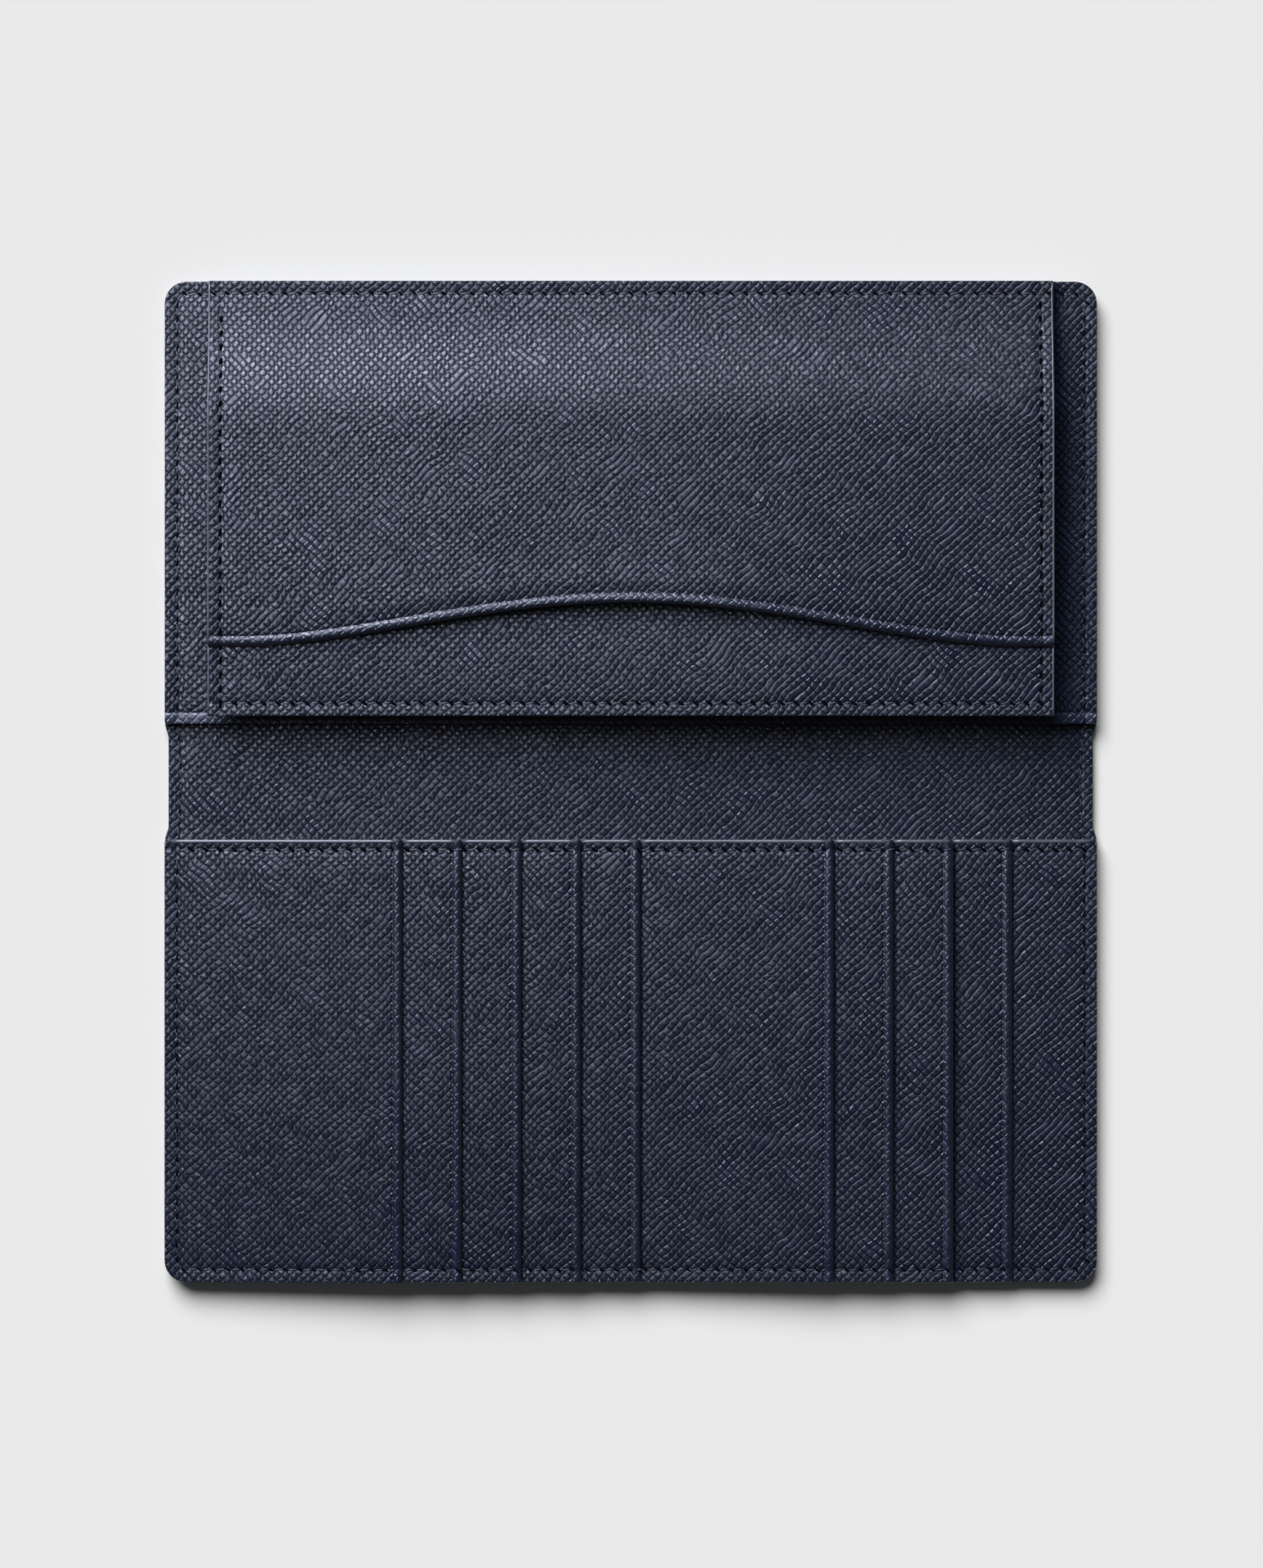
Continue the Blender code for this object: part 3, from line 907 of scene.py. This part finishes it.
def closed_sheet(name, bm, rise, finish="Inside leather"):
    """A sheet thickened upwards by rise, or down if that is negative.

    It is left square where it meets its other half in the middle of the spine.
    """

    def off_middle(edge):
        return max(abs(vertex.co.y) for vertex in edge.verts) > 0.01 * MM

    sheet = bmesh.ops.extrude_face_region(bm, geom=bm.faces[:], use_keep_orig=True)["geom"]
    second = [part for part in sheet if isinstance(part, bmesh.types.BMVert)]
    moved = set(second)
    bmesh.ops.translate(bm, verts=second, vec=(0, 0, rise))
    for face in bm.faces:
        levels = {vertex in moved for vertex in face.verts}
        face.material_index = len(levels) - 1
    bmesh.ops.recalc_face_normals(bm, faces=bm.faces)
    sharp = [
        edge
        for edge in bm.edges
        if edge.calc_face_angle(0) > SHARP_ANGLE and off_middle(edge)
    ]
    bmesh.ops.bevel(
        bm,
        geom=sharp,
        offset=min(EDGE_ROUNDING, abs(rise) * 0.4),
        affect="EDGES",
        segments=3,
        profile=0.5,
        material=-1,
    )
    for face in bm.faces:
        face.smooth = True
    for edge in bm.edges:
        edge.smooth = off_middle(edge)
    return piece(name, bm, [finish, "Edge paint"])


def walk(points, pitch):
    """Even steps along a run of points: each step's middle and direction."""
    lengths = [(b - a).length for a, b in zip(points, points[1:])]
    total = sum(lengths)
    count = max(1, round(total / pitch))
    steps = []
    for i in range(count):
        left = (i + 0.5) * total / count
        for a, b, length in zip(points, points[1:], lengths):
            if left <= length:
                steps.append((a + (b - a) * (left / length), (b - a).normalized()))
                break
            left -= length
    return steps


def corner_run(start, corner, end, radius, steps=5):
    """The points of a rounded corner, from the side of start to the side of end."""
    first = (start - corner).normalized()
    second = (end - corner).normalized()
    middle = corner + (first + second) * radius
    points = []
    for i in range(steps + 1):
        turn = math.pi / 2 * i / steps
        points.append(middle - second * radius * math.cos(turn) - first * radius * math.sin(turn))
    return points


def bead(half_sizes, segments, finish):
    """The mesh of a small closed ellipsoid, to be copied along a row."""
    bm = bmesh.new()
    size = Matrix.Diagonal((*half_sizes, 1))
    bmesh.ops.create_uvsphere(bm, u_segments=segments, v_segments=4, radius=1, matrix=size)
    for face in bm.faces:
        face.material_index = finish
        face.smooth = True
    mesh = bpy.data.meshes.new("bead")
    bm.to_mesh(mesh)
    bm.free()
    return mesh


def add_copy(bm, mesh, place, angle, length=1.0):
    """Adds a copy of a mesh to a bmesh, drawn out along its own x and turned in the plane."""
    copy = mesh.copy()
    turn = Matrix.Rotation(angle, 4, "Z") @ Matrix.Diagonal((length, 1, 1, 1))
    copy.transform(Matrix.Translation(place) @ turn)
    bm.from_mesh(copy)
    bpy.data.meshes.remove(copy)


# How far a stitch and its slit turn by chance, its half length as a share of the pitch, its height
TURN_SPREAD = 0.06
SLIT_SPREAD = 0.08
THREAD_SHARE = 0.38
THREAD_HEIGHT = 0.13 * MM


def stitch_row(bm, points, surface, beads, rng, up=1):
    """Stitches along a run of points, each with the dark slit that it goes down into: a near-black
    bead of painted shade.
    """
    stitching = bpy.context.scene.wallet_stitching
    thread, upright_slit_shade, level_slit_shade = beads
    for middle, along in walk(points, stitching.pitch):
        upright = abs(along.y) > abs(along.x)
        angle = math.atan2(along.y, along.x) + stitching.slant
        angle += rng.uniform(-TURN_SPREAD, TURN_SPREAD)
        height = surface(middle.x, middle.y) - up * 0.01 * MM
        length = rng.uniform(0.95, 1.05)
        add_copy(bm, thread, (middle.x, middle.y, height), angle, length)
        end = middle + along * stitching.pitch / 2
        height = surface(end.x, end.y)
        lean = (SLIT_UPRIGHT if upright else SLIT_LEVEL) + rng.uniform(-SLIT_SPREAD, SLIT_SPREAD)
        slit_shade = upright_slit_shade if upright else level_slit_shade
        add_copy(bm, slit_shade, (end.x, end.y, height), lean)


def stitch_piece(name, runs, surface, seed, up=1, slit_shades=TIGHT_SLIT_SHADES):
    """One piece of stitching from several runs over one surface."""
    stitching = bpy.context.scene.wallet_stitching
    rng = random.Random(seed)
    sizes = (THREAD_SHARE * stitching.pitch, stitching.width / 2, THREAD_HEIGHT)
    # Each slit bead takes the second finish, near black: painted shade in the stitch hole.
    beads = [bead(sizes, 8, 0), *(bead(slit_shade, 10, 1) for slit_shade in slit_shades)]
    bm = bmesh.new()
    for run in runs:
        stitch_row(bm, run, lambda x, y: surface(x, y, stitching.inset), beads, rng, up)
    for mesh in beads:
        bpy.data.meshes.remove(mesh)
    return piece(name, bm, ["Waxed thread", "Painted hole shade"])


def seam_path(side, near):
    """The perimeter seam of one half: up one side, round the outer corners and down the other."""
    seam = bpy.context.scene.wallet_stitching.inset
    x, y = HALF_WIDTH - seam, side * (OUTER_EDGE - seam)
    low_left, low_right = Vector((-x, side * near)), Vector((x, side * near))
    left, right = Vector((-x, y)), Vector((x, y))
    radius = CORNER_RADIUS - seam
    first = corner_run(low_left, left, right, radius)
    second = corner_run(left, right, low_right, radius)
    return [low_left, *first, *second, low_right]


# Painted edges in section: out from the leather, and up its thickness
EDGE_PROFILE = (
    *((-0.45, 0.5), (-0.30, 0.0), (0.02, 0.08), (0.06, 0.22), (-0.02, 0.36)),
    *((0.05, 0.50), (0.07, 0.72), (0.04, 0.90), (-0.22, 1.0), (-0.45, 0.5)),
)


def swept(name, path, section, finish="Edge paint"):
    """A closed bar along an edge: section(point, outward, row) swept along a path."""

    def place(column, row):
        return section(*path[column], row)

    bm = laid_grid(range(len(path)), range(len(EDGE_PROFILE)), place)
    bmesh.ops.remove_doubles(bm, verts=bm.verts, dist=0.002 * MM)
    bmesh.ops.holes_fill(bm, edges=bm.edges)
    bmesh.ops.recalc_face_normals(bm, faces=bm.faces)
    return piece(name, bm, [finish])


def edge_band(name, path, bottom, top):
    """Painted edge along a path of (point, outward), from bottom to top at each point."""

    def section(point, outward, row):
        out, rise = EDGE_PROFILE[row]
        low, high = bottom(point.x, point.y), top(point.x, point.y)
        spot = point + outward * out * MM
        return (spot.x, spot.y, low + (high - low) * rise)

    return swept(name, path, section)


def edge_bead(name, path, top, radius):
    """A rolled bead along the upper corner of an edge, in edge paint lightened as a painted
    highlight.
    """
    turns = len(EDGE_PROFILE) - 1

    def section(point, outward, row):
        turn = 2 * math.pi * row / turns
        spot = point + outward * radius * (math.cos(turn) - 0.8)
        inner = point - outward * 2 * radius
        height = top(inner.x, inner.y)
        return (spot.x, spot.y, height + radius * (math.sin(turn) - 0.6))

    return swept(name, path, section, "Painted highlight edge")


def outward_path(points, step=2.0 * MM, turn=1):
    """Points of an outline, closer than step, each with its outward direction in the plane."""
    path = []
    for a, b in zip(points, points[1:]):
        count = max(1, math.ceil((b - a).length / step))
        for i in range(count):
            path.append(a + (b - a) * (i / count))
    path.append(points[-1])
    result = []
    for i, point in enumerate(path):
        along = (path[min(i + 1, len(path) - 1)] - path[max(i - 1, 0)]).normalized()
        result.append((point, Vector((along.y, -along.x)) * turn))
    return result


def half_rows(side, rows):
    """Rows of one half in the order that keeps a grid's faces up."""
    return rows if side > 0 else [-row for row in reversed(rows)]


def half_name(side):
    return "note_half" if side > 0 else "card_half"


def bend(obj, side):
    """Bakes a piece's placement into its mesh; the span about its fold line is worked out but not
    used, so nothing is bent.
    """
    fold = FOLD["note_fold" if side > 0 else "card_fold"].y
    start, end = (0, fold - FOLD_REACH, 0), (0, fold + FOLD_REACH, 0)
    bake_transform(obj)
    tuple(start)
    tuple(end)


def fold_rows(lines=()):
    """Rows from the middle of the spine outwards, close together where the leather folds."""
    fold = FOLD["note_fold"].y
    rows = spread(fold + FOLD_REACH + MM, OUTER_EDGE, 4 * MM, lines)
    start = fold - FOLD_REACH - MM
    near = [start + (rows[0] - start) * i / FOLD_ROWS for i in range(FOLD_ROWS)]
    return [0, start / 2, *near, *rows]


class WALLET_OT_cover(bpy.types.Operator):
    """Make the outer cover, in two parts that meet in the middle of the spine"""

    bl_idname = "wallet.cover"
    bl_label = "Cover"

    def execute(self, context):
        seam = context.scene.wallet_stitching.inset
        columns = wallet_columns(4 * MM)[::-1]
        for side in (-1, 1):
            rows = half_rows(side, fold_rows([OUTER_EDGE - seam]))
            bm = laid_grid(columns, rows, lay(cover_bottom, wrap_edge))
            name = half_name(side)
            cover = closed_sheet(f"leather_cover_{name}", bm, COVER_TOP, "Cover leather")
            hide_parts(f"cover_{name}", "cover_spine")
            bend(cover, side)
        return {"FINISHED"}


class WALLET_OT_lining(bpy.types.Operator):
    """Make the lining that shows over the spine and runs on under both halves"""

    bl_idname = "wallet.lining"
    bl_label = "Lining"

    def execute(self, context):
        columns = wallet_columns(3 * MM)
        for side in (-1, 1):
            bm = laid_grid(columns, half_rows(side, fold_rows()), lay(spine_top, wrap_edge))
            name = half_name(side)
            lining = closed_sheet(f"leather_lining_{name}", bm, -LINING)
            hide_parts(f"lining_{name}", "lining_spine")
            bend(lining, side)
        return {"FINISHED"}


class WALLET_OT_card_half(bpy.types.Operator):
    """Make the card panel and the card pockets that lie over each other on it"""

    bl_idname = "wallet.card_half"
    bl_label = "Card half"

    def execute(self, context):
        seam = context.scene.wallet_stitching.inset
        lines = [PANEL_EDGE + MOUTH_SEAM, OUTER_EDGE - seam]
        rows = half_rows(-1, spread(PANEL_EDGE, OUTER_EDGE, 4 * MM, lines))
        bm = laid_grid(wallet_columns(4 * MM), rows, lay(card_base_top, panel_edge))
        panel = leather_sheet("leather_card_panel", bm, CARD_HIGH.z - CARD_LOW.z)
        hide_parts("card_panel")
        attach(panel, "card_half")
        for number in POCKETS:
            self.make_pocket(number, rows, seam)
        return {"FINISHED"}

    def make_pocket(self, number, rows, seam):
        start, mouth = POCKET_PLANES[number][:2]
        if number == 1:
            start = -HALF_WIDTH

        def place(column, y):
            x = fitted(column, panel_edge(y)) if number == 1 else column
            drop = MOUTH_EDGE_AND_SHADE_DROP if column > mouth else 0.0
            return (x, y, pocket_top(number, min(x, mouth), y, seam) - drop)

        def plain(x, y):
            return 0.7 if mouth - x < CREASE_INSET + PLAIN_REACH else 0.0

        line = POCKET_PLANES[number - 1][1] + PRESS_INSET if number > 1 else seam - HALF_WIDTH
        lines = [mouth - CREASE_INSET, line]
        columns = spread(start, mouth, 3 * MM, lines, reach=0.35 * MM)
        # A strip past the mouth in edge paint, sloping down: the real edge, widened as painted
        # shade of the gap beside it.
        columns.append(mouth + MOUTH_EDGE_AND_SHADE)
        bm = laid_grid(columns, rows, place, plain)
        for face in bm.faces:
            face.material_index = int(face.calc_center_median().x > mouth)
        pocket = leather_sheet(f"leather_pocket_{number}", bm, POCKET_FACE)
        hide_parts(f"card_pocket_{number}")
        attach(pocket, "card_half")


class WALLET_OT_note_panel(bpy.types.Operator):
    """Make the note panel, with its turned edge at the spine"""

    bl_idname = "wallet.note_panel"
    bl_label = "Note panel"

    def execute(self, context):
        seam = context.scene.wallet_stitching.inset
        lines = [PANEL_EDGE + TURNED_EDGE, OUTER_EDGE - seam]
        rows = spread(PANEL_EDGE, OUTER_EDGE, 4 * MM, lines, reach=0.5 * MM)

        def plain(x, y):
            return 0.7 if y - PANEL_EDGE < TURNED_EDGE + PLAIN_REACH else 0.0

        bm = laid_grid(wallet_columns(4 * MM), rows, lay(note_top, panel_edge), plain)
        panel = leather_sheet("leather_note_panel", bm, NOTE_HIGH.z - NOTE_LOW.z)
        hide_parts("note_panel")
        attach(panel, "note_half")
        return {"FINISHED"}


class WALLET_OT_leaf(bpy.types.Operator):
    """Make the leaf's two plies and the slip pocket with the arched mouth"""

    bl_idname = "wallet.leaf"
    bl_label = "Leaf"

    def execute(self, context):
        seam = context.scene.wallet_stitching.inset
        edge = LEAF_HALF_WIDTH
        columns = spread(-edge, edge, 3 * MM, [seam - edge, edge - seam])
        lines = [LEAF_EDGE + seam, OUTER_EDGE - seam]
        rows = spread(LEAF_EDGE, OUTER_EDGE, 3 * MM, lines)

        bm = laid_grid(columns, rows, lay(leaf_back_top))
        back = leather_sheet(
            "leather_leaf_back", bm, LEAF_BACK, "Fine leather"
        )
        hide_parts("leaf_back")
        bm = laid_grid(columns, rows, lay(leaf_top))
        front = leather_sheet("leather_leaf_front", bm, LEAF_FRONT)
        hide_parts("leaf_front")
        slip = self.make_slip_pocket(columns, seam)
        for ply in (back, front, slip):
            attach(ply, "leaf")
        return {"FINISHED"}

    def make_slip_pocket(self, columns, seam):
        level_end = LEAF_HINGE.y - LEAF_RISE
        lines = [MOUTH_END + CREASE_INSET, OUTER_EDGE - seam]
        rows = spread(MOUTH_END, OUTER_EDGE, 3 * MM, lines, reach=0.35 * MM)

        def place(x, row):
            share = min((row - MOUTH_END) / (level_end - MOUTH_END), 1)
            y = row + (mouth_y(x) - MOUTH_END) * (1 - share)
            if row < MOUTH_END:
                return (x, y, slip_top(x, mouth_y(x), seam) - MOUTH_EDGE_AND_SHADE_DROP)
            return (x, y, slip_top(x, y, seam))

        def plain(x, y):
            return 0.65 if y - mouth_y(x) < CREASE_INSET + PLAIN_REACH else 0.0

        # A strip in front of the mouth in edge paint, sloping down: the real edge, widened as
        # painted shade of the gap below it.
        bm = laid_grid(columns, [MOUTH_END - MOUTH_EDGE_AND_SHADE, *rows], place, plain)
        for face in bm.faces:
            middle = face.calc_center_median()
            face.material_index = int(middle.y < mouth_y(middle.x) - 0.1 * MM)
        slip = leather_sheet("leather_slip_pocket", bm, SLIP_POCKET)
        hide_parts("slip_pocket")
        return slip


# A gusset in section: in from the leaf's side, and up from the note panel
GUSSET_FOLD = (
    *((0, 0.0), (0.30, 0.07), (0.62, 0.19), (0.86, 0.32), (0.97, 0.42)),
    *((1, 0.5), (0.97, 0.58), (0.86, 0.68), (0.62, 0.81), (0.30, 0.93), (0, 1)),
)


class WALLET_OT_gussets(bpy.types.Operator):
    """Make the two folded gussets that join the leaf's sides to the note panel"""

    bl_idname = "wallet.gussets"
    bl_label = "Gussets"

    def execute(self, context):
        for label, side in (("left", -1), ("right", 1)):
            low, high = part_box(f"gusset_{label}")
            thickness = 0.5 * MM
            outer = max(abs(low.x), abs(high.x)) - 0.1 * MM
            depth = high.x - low.x - thickness
            base = low.z + thickness / 2

            def place(column, y):
                inward, rise = GUSSET_FOLD[column]
                top = leaf_underside(y) - LAYER_GAP - thickness / 2
                x = side * (outer - depth * inward)
                return (x, y, base + (top - base) * rise)

            columns = list(range(len(GUSSET_FOLD)))
            rows = spread(low.y, high.y, 3 * MM)
            bm = laid_grid(columns if side > 0 else columns[::-1], rows, place)
            obj = leather_sheet(
                f"leather_gusset_{label}", bm, thickness, "Fine leather"
            )
            obj.modifiers["thickness"].offset = 0
            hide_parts(f"gusset_{label}")
            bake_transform(obj)
        return {"FINISHED"}


class WALLET_OT_edges(bpy.types.Operator):
    """Make the painted edges that close the stacks of leather"""

    bl_idname = "wallet.edges"
    bl_label = "Painted edges"

    def execute(self, context):
        seam = context.scene.wallet_stitching.inset
        self.make_outer_edges(seam)
        self.make_spine_side_edges(seam)
        self.make_beads(seam)
        self.make_leaf_edge(seam)
        self.make_spine_edges()
        return {"FINISHED"}

    def make_outer_edges(self, seam):
        tops = {-1: card_top, 1: note_stack_top}
        for side in (-1, 1):
            near = Vector((-HALF_WIDTH, side * (PANEL_EDGE + 0.3 * MM)))
            corner = Vector((-HALF_WIDTH, side * OUTER_EDGE))
            across = Vector((HALF_WIDTH, side * OUTER_EDGE))
            end = Vector((HALF_WIDTH, side * (PANEL_EDGE + 0.3 * MM)))
            points = [near, *corner_run(near, corner, across, CORNER_RADIUS, 8)]
            if side < 0:
                steps = [POCKET_PLANES[number][1] for number in POCKETS]
            else:
                steps = [-LEAF_HALF_WIDTH - 0.3 * MM, LEAF_HALF_WIDTH]
            for x in steps:
                points += [Vector((x - SEAT, corner.y)), Vector((x + 0.3 * MM, corner.y))]
            points += [*corner_run(corner, across, end, CORNER_RADIUS, 8), end]
            surface = tops[side]
            band = edge_band(
                f"painted_edge_{half_name(side)}",
                outward_path(points, turn=-side),
                lambda x, y: EDGE_FOOT,
                lambda x, y: surface(x, y, seam) - 0.10 * MM,
            )
            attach(band, half_name(side))

    def make_spine_side_edges(self, seam):
        for side, surface in ((-1, card_top), (1, note_top)):
            y = side * PANEL_EDGE
            end = HALF_WIDTH - 0.3 * MM
            points = [Vector((-end, y))]
            for number in POCKETS if side < 0 else ():
                mouth = POCKET_PLANES[number][1]
                points += [Vector((mouth - SEAT, y)), Vector((mouth + 0.25 * MM, y))]
            points.append(Vector((end, y)))
            band = edge_band(
                f"painted_edge_{half_name(side)}_at_spine",
                outward_path(points, turn=side),
                lambda x, y: SPINE_LINING_TOP - 0.1 * MM,
                lambda x, y: surface(x, y, seam) - 0.08 * MM,
            )
            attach(band, half_name(side))

    def make_beads(self, seam):
        starts = [-HALF_WIDTH + PANEL_CORNER]
        ends = []
        for number in POCKETS:
            mouth = POCKET_PLANES[number][1]
            starts.append(mouth + 0.30 * MM)
            ends.append(mouth - 0.12 * MM)
        ends.append(HALF_WIDTH - PANEL_CORNER)
        y = -PANEL_EDGE + 0.05 * MM
        for number, (start, end) in enumerate(zip(starts, ends), 1):
            path = outward_path([Vector((start, y)), Vector((end, y))], turn=-1)
            bead = edge_bead(
                f"edge_bead_card_{number}",
                path,
                lambda x, y: card_top(min(max(x, start), end), y, seam),
                CARD_BEAD,
            )
            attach(bead, "card_half")
        for label, hand in (("left", -1), ("right", 1)):
            x = hand * (LEAF_HALF_WIDTH + SEAT)
            for part, near, far in (
                ("low", LEAF_EDGE + 0.2 * MM, MOUTH_END - 0.1 * MM),
                ("high", MOUTH_END + 0.1 * MM, OUTER_EDGE - 0.4 * MM),
            ):
                path = outward_path([Vector((x, near)), Vector((x, far))], turn=hand)
                bead = edge_bead(
                    f"edge_bead_leaf_{label}_{part}",
                    path,
                    lambda x, y: leaf_stack_top(x, max(y, near), seam),
                    LEAF_BEAD,
                )
                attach(bead, "leaf")

    def make_leaf_edge(self, seam):
        rows = (LEAF_EDGE, MOUTH_END - 0.2 * MM, MOUTH_END, OUTER_EDGE - 0.1 * MM)
        points = [Vector((-LEAF_HALF_WIDTH, y)) for y in reversed(rows)]
        points += [Vector((LEAF_HALF_WIDTH, y)) for y in rows]
        band = edge_band(
            "painted_edge_leaf",
            outward_path(points),
            lambda x, y: leaf_underside(y) + 0.05 * MM,
            lambda x, y: leaf_stack_top(x, y, seam) - 0.07 * MM,
        )
        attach(band, "leaf")

    def make_spine_edges(self):
        for side in (-1, 1):
            far = side * (PANEL_EDGE + 0.4 * MM)
            rows = [far * i / SPINE_STEPS for i in range(SPINE_STEPS + 1)]
            for label, hand in (("left", -1), ("right", 1)):
                points = [Vector((hand * side_of(y), y)) for y in rows]
                band = edge_band(
                    f"painted_edge_spine_{half_name(side)[:4]}_{label}",
                    outward_path(points, turn=side * hand),
                    lambda x, y: EDGE_FOOT,
                    lambda x, y: SPINE_LINING_TOP - 0.08 * MM,
                )
                bend(band, side)


class WALLET_OT_stitching(bpy.types.Operator):
    """Sew every row of stitches, inside and out"""

    bl_idname = "wallet.stitching"
    bl_label = "Stitching"

    def execute(self, context):
        seam = context.scene.wallet_stitching.inset
        pitch = context.scene.wallet_stitching.pitch
        near = PANEL_EDGE + MOUTH_SEAM + pitch / 2
        self.sew("card_perimeter", [seam_path(-1, near)], card_top, 3, "card_half")
        x, y = HALF_WIDTH - seam, -PANEL_EDGE - MOUTH_SEAM
        run = [Vector((-x, y)), Vector((x, y))]
        self.sew("card_mouth", [run], card_top, 5, "card_half", OPEN_SLIT_SHADES)
        run = seam_path(1, PANEL_EDGE + 0.4 * MM)
        self.sew("note_perimeter", [run], note_stack_top, 7, "note_half")
        x, top, low = LEAF_HALF_WIDTH - seam, OUTER_EDGE - 2 * seam, LEAF_EDGE + seam
        corners = [Vector(place) for place in ((-x, top), (-x, low), (x, low), (x, top))]
        runs = list(zip(corners, corners[1:]))
        self.sew("leaf", runs, leaf_stack_top, 11, "leaf", OPEN_SLIT_SHADES)
        self.sew_spine(seam)
        self.sew_outside(seam)
        return {"FINISHED"}

    def sew(self, name, runs, surface, seed, body, slit_shades=TIGHT_SLIT_SHADES):
        row = stitch_piece(f"stitches_{name}", runs, surface, seed, slit_shades=slit_shades)
        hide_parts(f"seam_{name}")
        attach(row, body)

    def spine_runs(self, side, seam):
        rows = (0, side * PANEL_EDGE)
        return [[Vector((hand * (side_of(y) - seam), y)) for y in rows] for hand in (-1, 1)]

    def sew_spine(self, seam):
        for side in (-1, 1):
            name = f"stitches_spine_{half_name(side)[:4]}"
            runs = self.spine_runs(side, seam)
            row = stitch_piece(name, runs, spine_top, 13 + side, slit_shades=FINE_SLIT_SHADES)
            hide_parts("seam_spine_left", "seam_spine_right")
            bend(row, side)

    def sew_outside(self, seam):
        for side in (-1, 1):
            name = half_name(side)
            run = seam_path(side, PANEL_EDGE)
            row = stitch_piece(f"outside_stitches_{name}", [run], cover_bottom, 17 + side, up=-1)
            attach(row, name)
            runs = self.spine_runs(side, seam)
            row = stitch_piece(
                f"outside_stitches_spine_{name[:4]}", runs, cover_bottom, 23 + side, up=-1
            )
            bend(row, side)


class WALLET_OT_hidden_parts(bpy.types.Operator):
    """Finish the boards and pocket stems, which keep their solids' shapes"""

    bl_idname = "wallet.hidden_parts"
    bl_label = "Boards and stems"

    def execute(self, context):
        for name, obj in frame["nodes"].items():
            if name.startswith("board_"):
                obj.material_slots[0].material = material("Grey board")
            elif name.startswith("pocket_stem_"):
                obj.material_slots[0].material = material("Pocket lining")
        return {"FINISHED"}


class WALLET_OT_stage(bpy.types.Operator):
    """Set the pale floor, the studio light and the camera overhead"""

    bl_idname = "wallet.stage"
    bl_label = "Stage"

    def execute(self, context):
        stage = context.scene.wallet_stage
        context.scene.view_settings.view_transform = "Standard"
        self.make_floor(stage)
        self.make_lights(context, stage)
        self.make_camera(context, stage)
        return {"FINISHED"}

    def make_floor(self, stage):
        bm = bmesh.new()
        place = Matrix.Translation((0, 0, FLOOR_HEIGHT))
        bmesh.ops.create_grid(bm, x_segments=1, y_segments=1, size=FLOOR_REACH, matrix=place)
        mesh = bpy.data.meshes.new("floor")
        bm.to_mesh(mesh)
        bm.free()
        floor = bpy.data.objects.new("floor", mesh)
        bpy.context.scene.collection.objects.link(floor)
        finish, _, shader = new_material("Floor")
        shader.inputs["Base Color"].default_value = (*stage.floor_colour, 1)
        shader.inputs["Roughness"].default_value = 0.95
        shader.inputs["Specular IOR Level"].default_value = 0.0
        mesh.materials.append(finish)

    def make_lights(self, context, stage):
        world = bpy.data.worlds.new("Studio")
        world.use_nodes = True
        background = world.node_tree.nodes["Background"]
        background.inputs["Color"].default_value = WORLD_COLOUR
        background.inputs["Strength"].default_value = stage.fill_strength
        context.scene.world = world
        key = bpy.data.lights.new("key", "SUN")
        key.energy = stage.key_strength
        key.angle = KEY_ANGLE
        sun = self.aim(context, "key", key, KEY_FROM)
        sun.visible_glossy = False
        for name, place, across, energy in WINDOWS:
            soft = bpy.data.lights.new(name, "AREA")
            soft.size = across
            soft.energy = energy
            soft.color = WINDOW_COLOUR
            lamp = self.aim(context, name, soft, Vector(place))
            lamp.visible_diffuse = False
            lamp.visible_camera = False

    def aim(self, context, name, light, place):
        lamp = bpy.data.objects.new(name, light)
        lamp.location = place
        lamp.rotation_euler = place.to_track_quat("Z", "Y").to_euler()
        context.scene.collection.objects.link(lamp)
        return lamp

    def make_camera(self, context, stage):
        data = bpy.data.cameras.new("camera")
        data.sensor_width = 36
        data.lens = data.sensor_width * stage.camera_height / VIEW_LENGTH
        camera = bpy.data.objects.new("camera", data)
        camera.location = (*CAMERA_CENTRE, stage.camera_height)
        context.scene.collection.objects.link(camera)
        context.scene.camera = camera


class WALLET_PT_panel(bpy.types.Panel):
    """The wallet's settings and makers"""

    bl_label = "Long wallet"
    bl_idname = "WALLET_PT_panel"
    bl_space_type = "VIEW_3D"
    bl_region_type = "UI"
    bl_category = "Wallet"

    def draw(self, context):
        layout = self.layout
        for label, (group, _) in GROUPS.items():
            box = layout.box()
            box.label(text=label)
            settings = getattr(context.scene, group)
            for name in type(settings).__annotations__:
                box.prop(settings, name)
        for operator in MAKERS:
            layout.operator(operator.bl_idname)


MAKERS = (
    WALLET_OT_cover,
    WALLET_OT_lining,
    WALLET_OT_card_half,
    WALLET_OT_note_panel,
    WALLET_OT_leaf,
    WALLET_OT_gussets,
    WALLET_OT_edges,
    WALLET_OT_stitching,
    WALLET_OT_hidden_parts,
    WALLET_OT_stage,
)
GROUPS = {
    "Leather": ("wallet_leather", WalletLeather),
    "Stitching": ("wallet_stitching", WalletStitching),
    "Stage": ("wallet_stage", WalletStage),
}
CLASSES = (*(group for _, group in GROUPS.values()), *MAKERS, WALLET_PT_panel)


def register():
    for each in CLASSES:
        bpy.utils.register_class(each)
    for name, group in GROUPS.values():
        setattr(bpy.types.Scene, name, PointerProperty(type=group))


def unregister():
    for name, _ in GROUPS.values():
        delattr(bpy.types.Scene, name)
    for each in reversed(CLASSES):
        bpy.utils.unregister_class(each)


def main():
    for old in [o for o in bpy.data.objects if "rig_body" not in o and o.type != "EMPTY"]:
        bpy.data.objects.remove(old)
    register()
    for maker in MAKERS:
        category, name = maker.bl_idname.split(".")
        result = getattr(getattr(bpy.ops, category), name)()
        if result != {"FINISHED"}:
            raise RuntimeError(f"{maker.bl_label} was not made")


if __name__ == "__main__":
    main()
